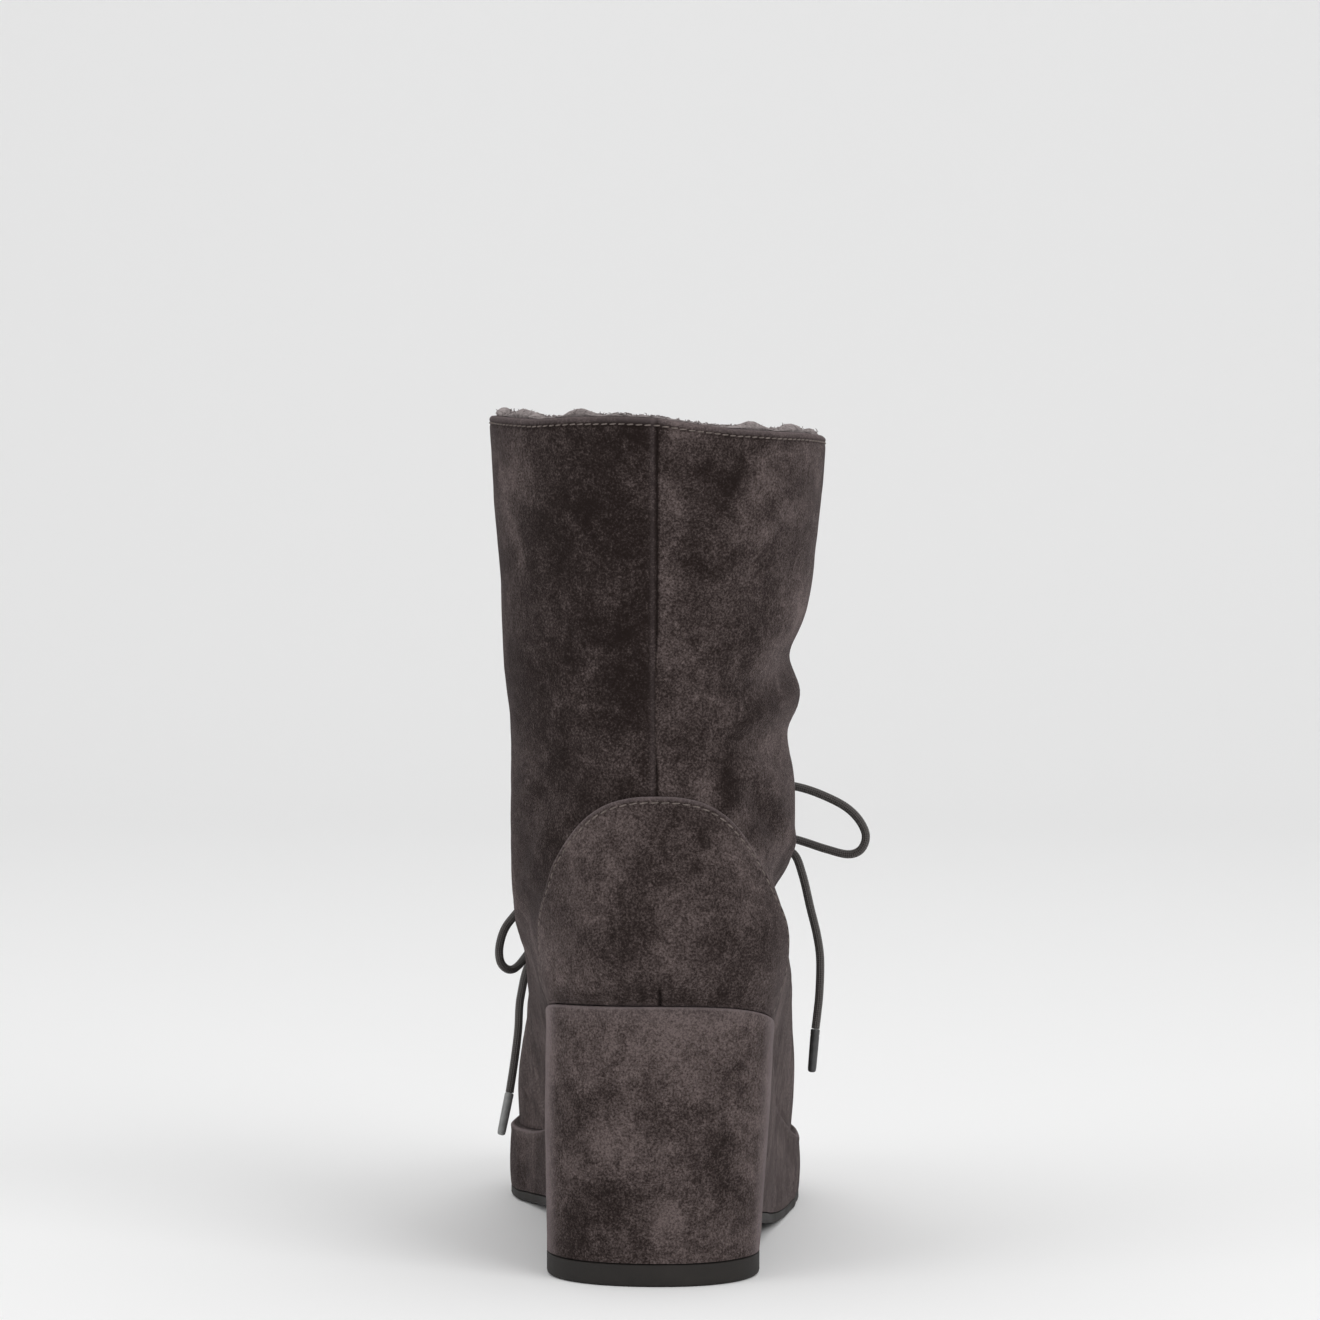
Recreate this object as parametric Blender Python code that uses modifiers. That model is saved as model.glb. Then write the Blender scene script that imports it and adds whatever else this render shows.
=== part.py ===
"""A woman's suede wedge boot for the right foot, as an assembly of its maker's pieces.

+Y runs from heel to toe, +X to the outer (lateral) side of the foot and +Z up. The origin lies on the
floor under the middle of the heel. All sizes are in metres.

Every section of the boot is worked out from the sizes below and from short tables, whose lengths are
shares of those sizes. Stations run along the sole, from 0 at its back to 1 at its tip.
"""

import math

import bmesh
import bpy
import numpy as np
from mathutils import Matrix, Vector

# Sole
SOLE_LENGTH = 0.250
BALL_WIDTH = 0.0985
HEEL_WIDTH = 0.0726
HEEL_CENTRE = 0.025
HEEL_HEIGHT = 0.089
PLATFORM_HEIGHT = 0.0252
ARCH_RISE = 0.0095
TOE_SPRING = 0.012
OUTSOLE_THICKNESS = 0.0034
TOP_PIECE_THICKNESS = 0.0072
HEEL_TAPER = 0.0045
WEDGE_EDGE_ROUND = 0.0018
OUTSOLE_EDGE_ROUND = 0.0010
INSOLE_THICKNESS = 0.0040
INSOLE_MARGIN = 0.0016
INSOLE_SIDE_SHARE = 0.7
INSOLE_ROUND_SHARE = 0.4

# Upper
UPPER_INSET = 0.0028
UPPER_WALL = 0.0026
SHAFT_DEPTH = 0.120
SHAFT_WIDTH = 0.1090
INSTEP_HEIGHT = 0.150
BOOT_HEIGHT = 0.271
COLLAR_TILT = 0.0035
COUNTER_THICKNESS = 0.0014
COUNTER_CLEARANCE = 0.0008
COUNTER_LIFT = 0.0012
COUNTER_REACH = 0.061
COUNTER_HEIGHT = 0.0645

# Throat, its facings, eyelets and tongue
THROAT_WIDTH = 0.018
FACING_WIDTH = 0.0150
FACING_THICKNESS = 0.0013
FACING_MARGIN = 0.0012
FACING_CLEARANCE = 0.0004
EYELET_PITCH = 0.0205
EYELET_FIRST = 0.0125
EYELET_HOLE_RADIUS = 0.0021
EYELET_BARREL_RADIUS = 0.0027
EYELET_FLANGE_RADIUS = 0.0043
EYELET_FLANGE_THICKNESS = 0.0007
EYELET_CLEARANCE = 0.0005
EYELET_HOLE_MARGIN = 0.0004
TONGUE_THICKNESS = 0.0040
TONGUE_WIDTH = 0.046

# Lace
LACE_DIAMETER = 0.0028
AGLET_DIAMETER = 0.0031
AGLET_LENGTH = 0.0145

CLEARANCE = 0.0003
FEATHER_CLEARANCE = 0.0004
INSOLE_CLEARANCE = 0.0005
LACE_CLEARANCE = 0.0006
KNOT_CLEARANCE = 0.0009

# Mesh fineness
SOLE_STEPS = 36
UPPER_COLUMNS = 20
COLUMN_CROWDING = 0.55
THROAT_CELLS = 4
ROW_LEVELS = (
    0.0, 0.03, 0.06, 0.09, 0.12, 0.15, 0.18, 0.21, 0.245, 0.28, 0.32, 0.36, 0.395, 0.43, 0.465, 0.50,
    0.535, 0.57, 0.605, 0.635, 0.665, 0.695, 0.73, 0.77, 0.82, 0.87, 0.92, 0.96, 1.0,
)
THROAT_ROWS = (12, 18)
COUNTER_COLUMNS_PER_SIDE = 8
EYELET_SIDES = 10
SECTION_SAMPLES = 181

# How far to each side of a point of the upper its facing is measured, and up to which level the wall
# stands upright on the wedge.
NORMAL_STEP = 0.0025
NORMAL_RISE_LEVELS = 0.012
UPRIGHT_LEVEL = 0.05

# Levels that the facings stop short of the throat's ends, and that the tongue reaches past them
FACING_STOP_LEVELS = 0.004
TONGUE_BELOW_LEVELS = 0.035
TONGUE_ABOVE_LEVELS = 0.055
COUNTER_SEARCH_LEVEL = 0.7
ROW_GAP_LEVELS = 0.005

OUTLINE_COLUMNS = ("station", "medial", "lateral", "of_ball")
OUTLINE = (
    (0.00, 0.970, 1.025, 0.0),
    (0.12, 0.972, 1.028, 0.0),
    (0.24, 0.950, 1.033, 0.0),
    (0.40, 0.910, 1.068, 0.0),
    (0.52, 0.818, 0.990, 0.5),
    (0.60, 0.836, 0.972, 0.8),
    (0.66, 0.889, 0.966, 1.0),
    (0.72, 0.993, 0.993, 1.0),
    (0.78, 1.040, 0.990, 1.0),
    (0.84, 1.045, 0.965, 1.0),
    (0.92, 1.070, 0.910, 1.0),
    (1.00, 1.120, 0.840, 1.0),
)
HEEL_ROUND_SHARE = 0.125
TOE_ROUND_SHARE = 0.265
OUTLINE_POWER = 2.2

PROFILE_COLUMNS = (
    "station", "pitch_medial", "pitch_lateral", "arch_medial", "arch_lateral", "toe",
)
PROFILE = (
    (0.00, 1.000, 1.000, 0.00, 0.00, 0.00),
    (0.06, 0.985, 0.940, 0.00, 0.00, 0.00),
    (0.13, 0.940, 0.860, 0.00, 0.00, 0.00),
    (0.18, 0.870, 0.780, 0.00, 0.00, 0.00),
    (0.22, 0.795, 0.705, 0.60, 0.60, 0.00),
    (0.27, 0.690, 0.610, 0.97, 0.97, 0.00),
    (0.34, 0.525, 0.480, 0.96, 0.72, 0.00),
    (0.42, 0.340, 0.330, 0.82, 0.36, 0.00),
    (0.50, 0.170, 0.190, 0.56, 0.12, 0.00),
    (0.58, 0.075, 0.085, 0.30, 0.00, 0.00),
    (0.66, 0.015, -0.005, 0.12, 0.00, 0.00),
    (0.73, 0.000, -0.040, 0.00, 0.00, 0.00),
    (0.80, 0.000, -0.030, 0.00, 0.00, 0.00),
    (0.86, 0.000, -0.015, 0.00, 0.00, 0.16),
    (0.92, 0.000, 0.000, 0.00, 0.00, 0.46),
    (1.00, 0.000, 0.000, 0.00, 0.00, 1.00),
)
TOE_TOP_SHARE = 0.40
TOP_PIECE_STATIONS = (0.195, 0.245)
TAPER_STATIONS = (0.20, 0.50)

# One row for each section of the upper, from the feather edge (level 0) to the collar (level 1). A
# section runs from the back of the boot to its front: back_in and back_rise place its back, reach,
# foot_rise and shaft_rise its front. The rounds are shares of the section's length.
LEVEL_COLUMNS = (
    "level", "back_in", "back_rise", "reach", "foot_rise", "shaft_rise", "front_round",
    "back_medial", "back_lateral", "power", "fullness", "shaft_share", "half_medial", "half_lateral",
)
LEVELS = (
    (0.00, 0.000, 0.000, 1.000, 0.000, 0.000, 0.265, 0.128, 0.128, 2.20, 1.000, 0.00, 0.800, 0.780),
    (0.05, -0.024, 0.044, 1.000, 0.090, 0.000, 0.290, 0.150, 0.145, 2.20, 1.030, 0.15, 0.840, 0.830),
    (0.11, -0.040, 0.099, 0.966, 0.176, 0.000, 0.335, 0.270, 0.180, 2.20, 1.045, 0.38, 0.862, 0.862),
    (0.17, -0.040, 0.159, 0.880, 0.250, 0.000, 0.410, 0.350, 0.220, 2.20, 1.045, 0.64, 0.870, 0.868),
    (0.24, -0.024, 0.214, 0.722, 0.322, 0.000, 0.500, 0.400, 0.260, 2.15, 1.030, 0.85, 0.868, 0.850),
    (0.31, -0.004, 0.264, 0.526, 0.395, 0.000, 0.560, 0.420, 0.300, 2.05, 1.000, 1.00, 0.870, 0.830),
    (0.38, 0.012, 0.308, 0.340, 0.490, 0.000, 0.560, 0.430, 0.360, 2.00, 1.000, 1.00, 0.876, 0.820),
    (0.45, 0.024, 0.352, 0.192, 0.615, 0.000, 0.550, 0.440, 0.420, 2.00, 1.000, 1.00, 0.876, 0.820),
    (0.52, 0.029, 0.401, 0.088, 0.790, 0.000, 0.530, 0.460, 0.450, 2.00, 1.000, 1.00, 0.872, 0.826),
    (0.60, 0.029, 0.473, 0.026, 1.000, 0.000, 0.510, 0.480, 0.480, 2.00, 1.000, 1.00, 0.880, 0.830),
    (0.70, 0.020, 0.582, -0.002, 1.000, 0.248, 0.500, 0.500, 0.500, 2.00, 1.000, 1.00, 0.914, 0.880),
    (0.82, 0.004, 0.720, -0.004, 1.000, 0.529, 0.500, 0.500, 0.500, 2.00, 1.000, 1.00, 0.930, 0.914),
    (0.92, -0.020, 0.868, 0.014, 1.000, 0.785, 0.500, 0.500, 0.500, 2.00, 1.000, 1.00, 0.967, 0.967),
    (1.00, -0.036, 1.000, 0.034, 1.000, 0.970, 0.500, 0.500, 0.500, 2.00, 1.000, 1.00, 1.000, 1.000),
)

# Slouch folds of the shaft. Heights are shares of BOOT_HEIGHT, stations of SOLE_LENGTH, depths of
# SHAFT_WIDTH; slant is the height that a fold gains over its run forward.
FOLD_COLUMNS = ("side", "height", "station", "depth", "half_height", "half_run", "slant")
FOLDS = (
    (1, 0.722, 0.250, -0.048, 0.042, 0.190, 0.10),
    (1, 0.684, 0.260, 0.010, 0.028, 0.160, 0.05),
    (1, 0.630, 0.260, -0.036, 0.034, 0.190, -0.05),
    (1, 0.420, 0.300, -0.070, 0.046, 0.180, -0.20),
    (-1, 0.655, 0.300, -0.012, 0.050, 0.160, 0.15),
    (-1, 0.365, 0.300, -0.016, 0.045, 0.160, -0.15),
)

THROAT_COLUMNS = ("level", "half_width")
THROAT = (
    (0.00, 0.30),
    (0.30, 0.25),
    (0.40, 0.40),
    (0.48, 0.80),
    (0.60, 1.00),
    (0.70, 0.60),
    (1.00, 0.55),
)

# The counter's outline: height above the feather edge and reach forward from the back seam.
COUNTER_COLUMNS = ("height", "reach")
COUNTER = (
    (0.00, 0.86),
    (0.14, 0.97),
    (0.30, 1.00),
    (0.48, 0.90),
    (0.64, 0.74),
    (0.78, 0.60),
    (0.90, 0.43),
    (0.97, 0.28),
    (1.00, 0.14),
)

# The knot stands over the top of the throat, a little to the medial side.
KNOT_LEVEL = 0.5335
KNOT_LIFT = 0.01094
KNOT_ASIDE = 0.0020
KNOT_HALF_SIZES = (0.0068, 0.0042, 0.0052)

# The free lace, chosen by hand along the route that the photograph shows. Its points are shares of
# SHAFT_WIDTH from the knot's centre. Where a route leaves or meets the knot, its point gives the
# direction only.
LATERAL_LOOP = (
    (0.081, 0.009, 0.023), (0.156, -0.014, 0.078), (0.294, -0.083, 0.133), (0.444, -0.151, 0.127),
    (0.558, -0.174, 0.088), (0.624, -0.188, 0.044), (0.658, -0.197, -0.014), (0.646, -0.197, -0.061),
    (0.606, -0.188, -0.079), (0.537, -0.174, -0.064), (0.444, -0.142, -0.037), (0.294, -0.087, -0.005),
    (0.183, -0.023, -0.014), (0.083, 0.014, -0.023),
)
MEDIAL_LOOP = (
    (-0.081, 0.009, 0.009), (-0.156, -0.009, -0.028), (-0.257, -0.032, -0.110), (-0.349, -0.069, -0.197),
    (-0.423, -0.101, -0.278), (-0.454, -0.115, -0.321), (-0.469, -0.124, -0.376), (-0.464, -0.124, -0.421),
    (-0.440, -0.110, -0.444), (-0.411, -0.064, -0.436), (-0.362, 0.014, -0.381), (-0.284, 0.060, -0.303),
    (-0.183, 0.069, -0.202), (-0.119, 0.055, -0.115), (-0.069, 0.028, -0.055),
)
LATERAL_END = (
    (0.055, 0.046, -0.064), (0.156, 0.032, -0.092), (0.294, -0.032, -0.083), (0.385, -0.096, -0.069),
    (0.439, -0.133, -0.083), (0.466, -0.151, -0.147), (0.490, -0.161, -0.248), (0.510, -0.165, -0.330),
    (0.520, -0.170, -0.404), (0.518, -0.170, -0.505), (0.511, -0.170, -0.578), (0.506, -0.170, -0.619),
)
LATERAL_TIP = (0.495, -0.170, -0.752)
MEDIAL_END = (
    (-0.009, 0.069, -0.069), (-0.064, 0.124, -0.138), (-0.147, 0.147, -0.229), (-0.257, 0.170, -0.321),
    (-0.372, 0.151, -0.436), (-0.408, 0.096, -0.550), (-0.415, 0.032, -0.651), (-0.426, -0.014, -0.743),
    (-0.440, -0.041, -0.835),
)
MEDIAL_TIP = (-0.466, -0.078, -0.963)
CORD_POINT_SPACING = 0.0066

MATERIALS = {
    "suede": ((0.066, 0.049, 0.046), 0.95, 0.0),
    "rubber": ((0.040, 0.036, 0.035), 0.60, 0.0),
    "fleece": ((0.235, 0.205, 0.195), 1.00, 0.0),
    "gunmetal": ((0.090, 0.085, 0.080), 0.35, 1.0),
    "waxed_cord": ((0.043, 0.040, 0.037), 0.70, 0.0),
    "aglet": ((0.090, 0.092, 0.090), 0.35, 0.0),
}


def smooth_column(table, columns, name, at):
    """A column read at any value of the table's first column, on a smooth curve without overshoot."""
    rows = np.array(table, float)
    x, y = rows[:, 0], rows[:, columns.index(name)]
    steps, rises = np.diff(x), np.diff(y) / np.diff(x)
    slopes = np.concatenate([rises[:1], np.zeros(len(x) - 2), rises[-1:]])
    for i in range(1, len(x) - 1):
        before, after = rises[i - 1], rises[i]
        if before * after > 0:
            slopes[i] = 2 * before * after / (before + after)
    at = np.clip(np.asarray(at, float), x[0], x[-1])
    i = np.clip(np.searchsorted(x, at) - 1, 0, len(x) - 2)
    t = (at - x[i]) / steps[i]
    return (
        y[i] * (1 + 2 * t) * (1 - t) ** 2
        + slopes[i] * steps[i] * t * (1 - t) ** 2
        + y[i + 1] * t**2 * (3 - 2 * t)
        + slopes[i + 1] * steps[i] * t**2 * (t - 1)
    )


def end_round(distance, length, power):
    """How wide a rounded end is, as a share, at a distance from its tip."""
    share = np.clip((length - distance) / length, 0.0, 1.0)
    return (1.0 - share**power) ** (1.0 / power)


def outline_reach(along, side):
    """How far the sole reaches to one side, before its ends are rounded."""
    station = along / SOLE_LENGTH
    of_ball = smooth_column(OUTLINE, OUTLINE_COLUMNS, "of_ball", station)
    share = smooth_column(OUTLINE, OUTLINE_COLUMNS, side, station)
    return share * (HEEL_WIDTH * (1 - of_ball) + BALL_WIDTH * of_ball) / 2


def outline_centre(along):
    return (outline_reach(along, "lateral") - outline_reach(along, "medial")) / 2


def outline_half_width(along):
    return (outline_reach(along, "lateral") + outline_reach(along, "medial")) / 2


def lateral_share(along, across):
    """0 at the sole's medial edge, 1 at its lateral edge."""
    half = outline_half_width(along)
    return np.clip((across - outline_centre(along)) / (2 * half) + 0.5, 0.0, 1.0)


def toe_lift(along):
    return TOE_SPRING * smooth_column(PROFILE, PROFILE_COLUMNS, "toe", along / SOLE_LENGTH)


def underside_height(along, across):
    """The outsole's lower face: flat under heel and ball, hollow under the arch, sprung at the toe."""
    station = along / SOLE_LENGTH
    medial = smooth_column(PROFILE, PROFILE_COLUMNS, "arch_medial", station)
    lateral = smooth_column(PROFILE, PROFILE_COLUMNS, "arch_lateral", station)
    share = lateral_share(along, across)
    return ARCH_RISE * (medial * (1 - share) + lateral * share) + toe_lift(along)


def outsole_thickness(along):
    """The outsole thickens to the top piece under the heel."""
    start, end = TOP_PIECE_STATIONS
    share = np.clip((along / SOLE_LENGTH - start) / (end - start), 0.0, 1.0)
    fade = share * share * (3 - 2 * share)
    return TOP_PIECE_THICKNESS + (OUTSOLE_THICKNESS - TOP_PIECE_THICKNESS) * fade


def feather_height(along, across):
    """The wedge's top face, which falls from heel to ball and lies a little lower on the outer side."""
    station = along / SOLE_LENGTH
    medial = smooth_column(PROFILE, PROFILE_COLUMNS, "pitch_medial", station)
    lateral = smooth_column(PROFILE, PROFILE_COLUMNS, "pitch_lateral", station)
    share = lateral_share(along, across)
    pitch = medial * (1 - share) + lateral * share
    return PLATFORM_HEIGHT + (HEEL_HEIGHT - PLATFORM_HEIGHT) * pitch + TOE_TOP_SHARE * toe_lift(along)


def heel_fade(along):
    """1 under the heel, 0 from the waist on."""
    start, end = TAPER_STATIONS
    share = np.clip((along / SOLE_LENGTH - start) / (end - start), 0.0, 1.0)
    return 1 - share * share * (3 - 2 * share)


def sole_ring(height, inset, taper=0.0):
    """Points round the sole's outline: back, lateral side, tip, medial side. height(along, across)."""
    points = []
    for i in range(2 * SOLE_STEPS):
        angle = math.pi * i / SOLE_STEPS
        side = 1 if i < SOLE_STEPS else -1
        length = SOLE_LENGTH - 2 * inset
        from_back = length * (1 - math.cos(angle)) / 2
        along = inset + from_back
        ends = end_round(from_back, SOLE_LENGTH * HEEL_ROUND_SHARE - inset, OUTLINE_POWER)
        ends *= end_round(length - from_back, SOLE_LENGTH * TOE_ROUND_SHARE - inset, OUTLINE_POWER)
        narrowing = taper * heel_fade(along) if side > 0 else 0.0
        half = (outline_half_width(along) - inset - narrowing) * ends
        across = outline_centre(along) + side * half
        points.append((across, along - HEEL_CENTRE, height(along, across)))
    return points


def closed_loft(rings):
    """Vertices and faces of rings joined in order, each end closed by rungs from side to side."""
    count = len(rings[0])
    vertices = [p for ring in rings for p in ring]
    faces = []
    for r in range(len(rings) - 1):
        low, high = r * count, (r + 1) * count
        for i in range(count):
            j = (i + 1) % count
            faces.append((low + i, low + j, high + j, high + i))
    for base, flip in ((0, True), ((len(rings) - 1) * count, False)):
        for i in range(count // 2):
            a, b = i, i + 1
            c, d = (count - i - 1) % count, (count - i) % count
            for corners in ((a, b, c), (a, c, d)):
                if len(set(corners)) == 3:
                    face = tuple(base + k for k in corners)
                    faces.append(face[::-1] if flip else face)
    return vertices, faces


def section(level):
    """One section of the upper, as an (n, 3) array for each side, from its front to its back."""
    value = {
        name: float(smooth_column(LEVELS, LEVEL_COLUMNS, name, level)) for name in LEVEL_COLUMNS
    }
    back = UPPER_INSET + SHAFT_DEPTH * value["back_in"]
    shaft_front = UPPER_INSET + SHAFT_DEPTH
    front = shaft_front + (SOLE_LENGTH - UPPER_INSET - shaft_front) * value["reach"]
    length = front - back
    shaft = value["shaft_share"]
    back_edge = float(feather_height(max(back, 0.0), 0.0))
    front_edge = float(feather_height(front, float(outline_centre(front))))
    back_height = back_edge + (BOOT_HEIGHT - HEEL_HEIGHT) * value["back_rise"]
    front_height = front_edge + (INSTEP_HEIGHT - front_edge) * value["foot_rise"]
    front_height += (BOOT_HEIGHT - INSTEP_HEIGHT) * value["shaft_rise"]
    turn = np.linspace(0.0, math.pi, SECTION_SAMPLES)
    share = (1 + np.cos(turn)) / 2
    along = back + length * share
    centre = outline_centre(along)
    centre = np.where(centre > 0, centre * (1 - shaft), centre)
    sides = {}
    for side, back_name, half_name in (
        (-1, "back_medial", "half_medial"),
        (1, "back_lateral", "half_lateral"),
    ):
        ends = end_round(along - back, length * value[back_name], value["power"])
        ends = ends * end_round(front - along, length * value["front_round"], value["power"])
        foot_half = (outline_half_width(along) - UPPER_INSET) * value["fullness"]
        half = foot_half * (1 - shaft) + SHAFT_WIDTH / 2 * value[half_name] * shaft
        across = centre + side * half * ends
        straight = back_height + (front_height - back_height) * share
        sag = feather_height(along, across) - (back_edge + (front_edge - back_edge) * share)
        height = straight + sag * (1 - shaft) + FEATHER_CLEARANCE
        height = height - COLLAR_TILT * value["shaft_rise"] * across / (SHAFT_WIDTH / 2)
        across = across + side * fold_depth(side, along, height)
        sides[side] = np.stack([across, along - HEEL_CENTRE, height], axis=1)
    return sides


def fold_depth(side, along, height):
    """How far the slouch folds push one side of the upper outwards."""
    depth = np.zeros_like(along)
    for row in FOLDS:
        fold = dict(zip(FOLD_COLUMNS, row))
        if fold["side"] != side:
            continue
        run = along / SOLE_LENGTH - fold["station"]
        rise = height / BOOT_HEIGHT - fold["height"] - fold["slant"] * run
        shape = np.exp(-((run / fold["half_run"]) ** 2) - (rise / fold["half_height"]) ** 2)
        depth += SHAFT_WIDTH * fold["depth"] * shape
    return depth


SECTIONS = {}


def measured_section(level):
    """A section with the running length of each side from the front."""
    key = round(float(np.clip(level, 0.0, 1.0)), 6)
    if key not in SECTIONS:
        sides = section(key)
        runs = {}
        for side, points in sides.items():
            steps = np.linalg.norm(np.diff(points, axis=0), axis=1)
            runs[side] = np.concatenate([[0.0], np.cumsum(steps)])
        SECTIONS[key] = (sides, runs)
    return SECTIONS[key]


def side_length(level, side):
    return measured_section(level)[1][side][-1]


def skin_point(level, run):
    """A point of the upper's outer face. run is measured from the front, lateral side positive."""
    side = 1 if run >= 0 else -1
    sides, runs = measured_section(level)
    total = runs[side][-1]
    distance = abs(run)
    if distance > total:
        distance = runs[-side][-1] - (distance - total)
        side = -side
    return np.array([np.interp(distance, runs[side], sides[side][:, k]) for k in range(3)])


def skin_normal(level, run):
    """The outward direction there, kept level at the feather edge so that nothing sinks into the wedge."""
    along_ring = skin_point(level, run + NORMAL_STEP) - skin_point(level, run - NORMAL_STEP)
    low, high = max(level - NORMAL_RISE_LEVELS, 0.0), min(level + NORMAL_RISE_LEVELS, 1.0)
    side = 1 if run >= 0 else -1
    total = side_length(level, side)

    def across_from(other):
        if abs(run) < total:
            return run / total * side_length(other, side)
        return side * (abs(run) - total + side_length(other, side))

    upward = skin_point(high, across_from(high)) - skin_point(low, across_from(low))
    normal = np.cross(upward, along_ring)
    normal /= np.linalg.norm(normal)
    normal[2] *= min(1.0, level / UPRIGHT_LEVEL)
    return normal / np.linalg.norm(normal)


def over_skin(level, run, offset):
    """A point at a distance outside the upper's outer face."""
    return skin_point(level, run) + offset * skin_normal(level, run)


def throat_half_width(level):
    return THROAT_WIDTH / 2 * float(smooth_column(THROAT, THROAT_COLUMNS, "half_width", level))


def column_shares():
    """Where the upper's columns stand on each side, closer together at the toe and round the heel."""
    even = np.linspace(0.0, 1.0, UPPER_COLUMNS + 1)
    return even * (1 - COLUMN_CROWDING) + (1 - np.cos(math.pi * even)) / 2 * COLUMN_CROWDING


def front_path(levels):
    """Running length up the front centre line at each of the levels."""
    points = np.array([skin_point(level, 0.0) for level in levels])
    return np.concatenate([[0.0], np.cumsum(np.linalg.norm(np.diff(points, axis=0), axis=1))])


def level_up_throat(distance):
    """The level at a distance up the front centre line from the throat's base."""
    levels = np.linspace(ROW_LEVELS[THROAT_ROWS[0]], 1.0, 121)
    return float(np.interp(distance, front_path(levels), levels))


def shell(outer, inner, keep):
    """A closed wall between two grids of points. keep(row, column) tells which cells are there; the
    columns run round once if keep covers the last one."""
    rows, columns = outer.shape[:2]
    vertices = [tuple(p) for p in outer.reshape(-1, 3)] + [tuple(p) for p in inner.reshape(-1, 3)]
    half = rows * columns
    faces = []
    edges = {}
    for r in range(rows - 1):
        for c in range(columns):
            if not keep(r, c):
                continue
            d = (c + 1) % columns
            cell = (r * columns + c, r * columns + d, (r + 1) * columns + d, (r + 1) * columns + c)
            faces.append(cell)
            faces.append(tuple(half + k for k in reversed(cell)))
            for a, b in zip(cell, cell[1:] + cell[:1]):
                edges[(a, b)] = True
    for a, b in edges:
        if (b, a) not in edges:
            faces.append((b, a, half + a, half + b))
    return vertices, faces


def skin_patch(levels, runs, inside, outside):
    """A piece between two offsets from the upper's outer face. runs(level) gives its column places."""
    grids = []
    for offset in (outside, inside):
        grids.append(np.array([[over_skin(v, run, offset) for run in runs(v)] for v in levels]))
    last = grids[0].shape[1] - 1
    return shell(grids[0], grids[1], lambda r, c: c < last)


def add_object(name, vertices, faces, material, collection, smooth_angle=50):
    mesh = bpy.data.meshes.new(name)
    mesh.from_pydata([tuple(map(float, v)) for v in vertices], [], faces)
    shaped = bmesh.new()
    shaped.from_mesh(mesh)
    loose = [v for v in shaped.verts if not v.link_faces]
    bmesh.ops.delete(shaped, geom=loose, context="VERTS")
    bmesh.ops.recalc_face_normals(shaped, faces=shaped.faces)
    shaped.to_mesh(mesh)
    shaped.free()
    mesh.shade_smooth()
    mesh.set_sharp_from_angle(angle=math.radians(smooth_angle))
    mesh.materials.append(material)
    thing = bpy.data.objects.new(name, mesh)
    collection.objects.link(thing)
    return thing


def make_materials():
    made = {}
    for name, (colour, roughness, metallic) in MATERIALS.items():
        material = bpy.data.materials.new(name)
        material.use_nodes = True
        shader = material.node_tree.nodes["Principled BSDF"]
        shader.inputs["Base Color"].default_value = (*colour, 1.0)
        shader.inputs["Roughness"].default_value = roughness
        shader.inputs["Metallic"].default_value = metallic
        made[name] = material
    return made


def make_outsole(materials, parts):
    """The rubber outsole, with its thick top piece under the heel."""
    def top(along, across):
        return underside_height(along, across) + outsole_thickness(along)

    def low_edge(along, across):
        return underside_height(along, across) + OUTSOLE_EDGE_ROUND

    def bottom(along, across):
        return underside_height(along, across)

    rings = [
        sole_ring(bottom, OUTSOLE_EDGE_ROUND, HEEL_TAPER),
        sole_ring(low_edge, 0.0, HEEL_TAPER),
        sole_ring(top, 0.0, HEEL_TAPER),
    ]
    return add_object("outsole", *closed_loft(rings), materials["rubber"], parts, 35)


def wedge_height(share, drop=0.0):
    """A height between the wedge's lower face and its top, less a drop."""
    def height(along, across):
        low = underside_height(along, across) + outsole_thickness(along) + CLEARANCE
        high = feather_height(along, across)
        return low + (high - low) * share - drop

    return height


def make_wedge(materials, parts):
    """The suede-covered wedge and platform, with a softly rounded top edge."""
    turned = 1 - math.sqrt(0.5)
    rings = [
        sole_ring(wedge_height(0.0), 0.0, HEEL_TAPER),
        sole_ring(wedge_height(1.0, WEDGE_EDGE_ROUND), 0.0),
        sole_ring(wedge_height(1.0, WEDGE_EDGE_ROUND * turned), WEDGE_EDGE_ROUND * turned),
        sole_ring(wedge_height(1.0), WEDGE_EDGE_ROUND),
    ]
    return add_object("wedge", *closed_loft(rings), materials["suede"], parts, 50)


def make_insole(materials, parts):
    """The footbed on the wedge, inside the upper's wall."""
    edge = UPPER_INSET + UPPER_WALL + INSOLE_MARGIN

    def above(rise):
        return lambda along, across: feather_height(along, across) + rise

    rings = [
        sole_ring(above(INSOLE_CLEARANCE), edge),
        sole_ring(above(INSOLE_THICKNESS * INSOLE_SIDE_SHARE), edge),
        sole_ring(above(INSOLE_THICKNESS), edge + INSOLE_THICKNESS * INSOLE_ROUND_SHARE),
    ]
    return add_object("insole", *closed_loft(rings), materials["fleece"], parts)


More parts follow.
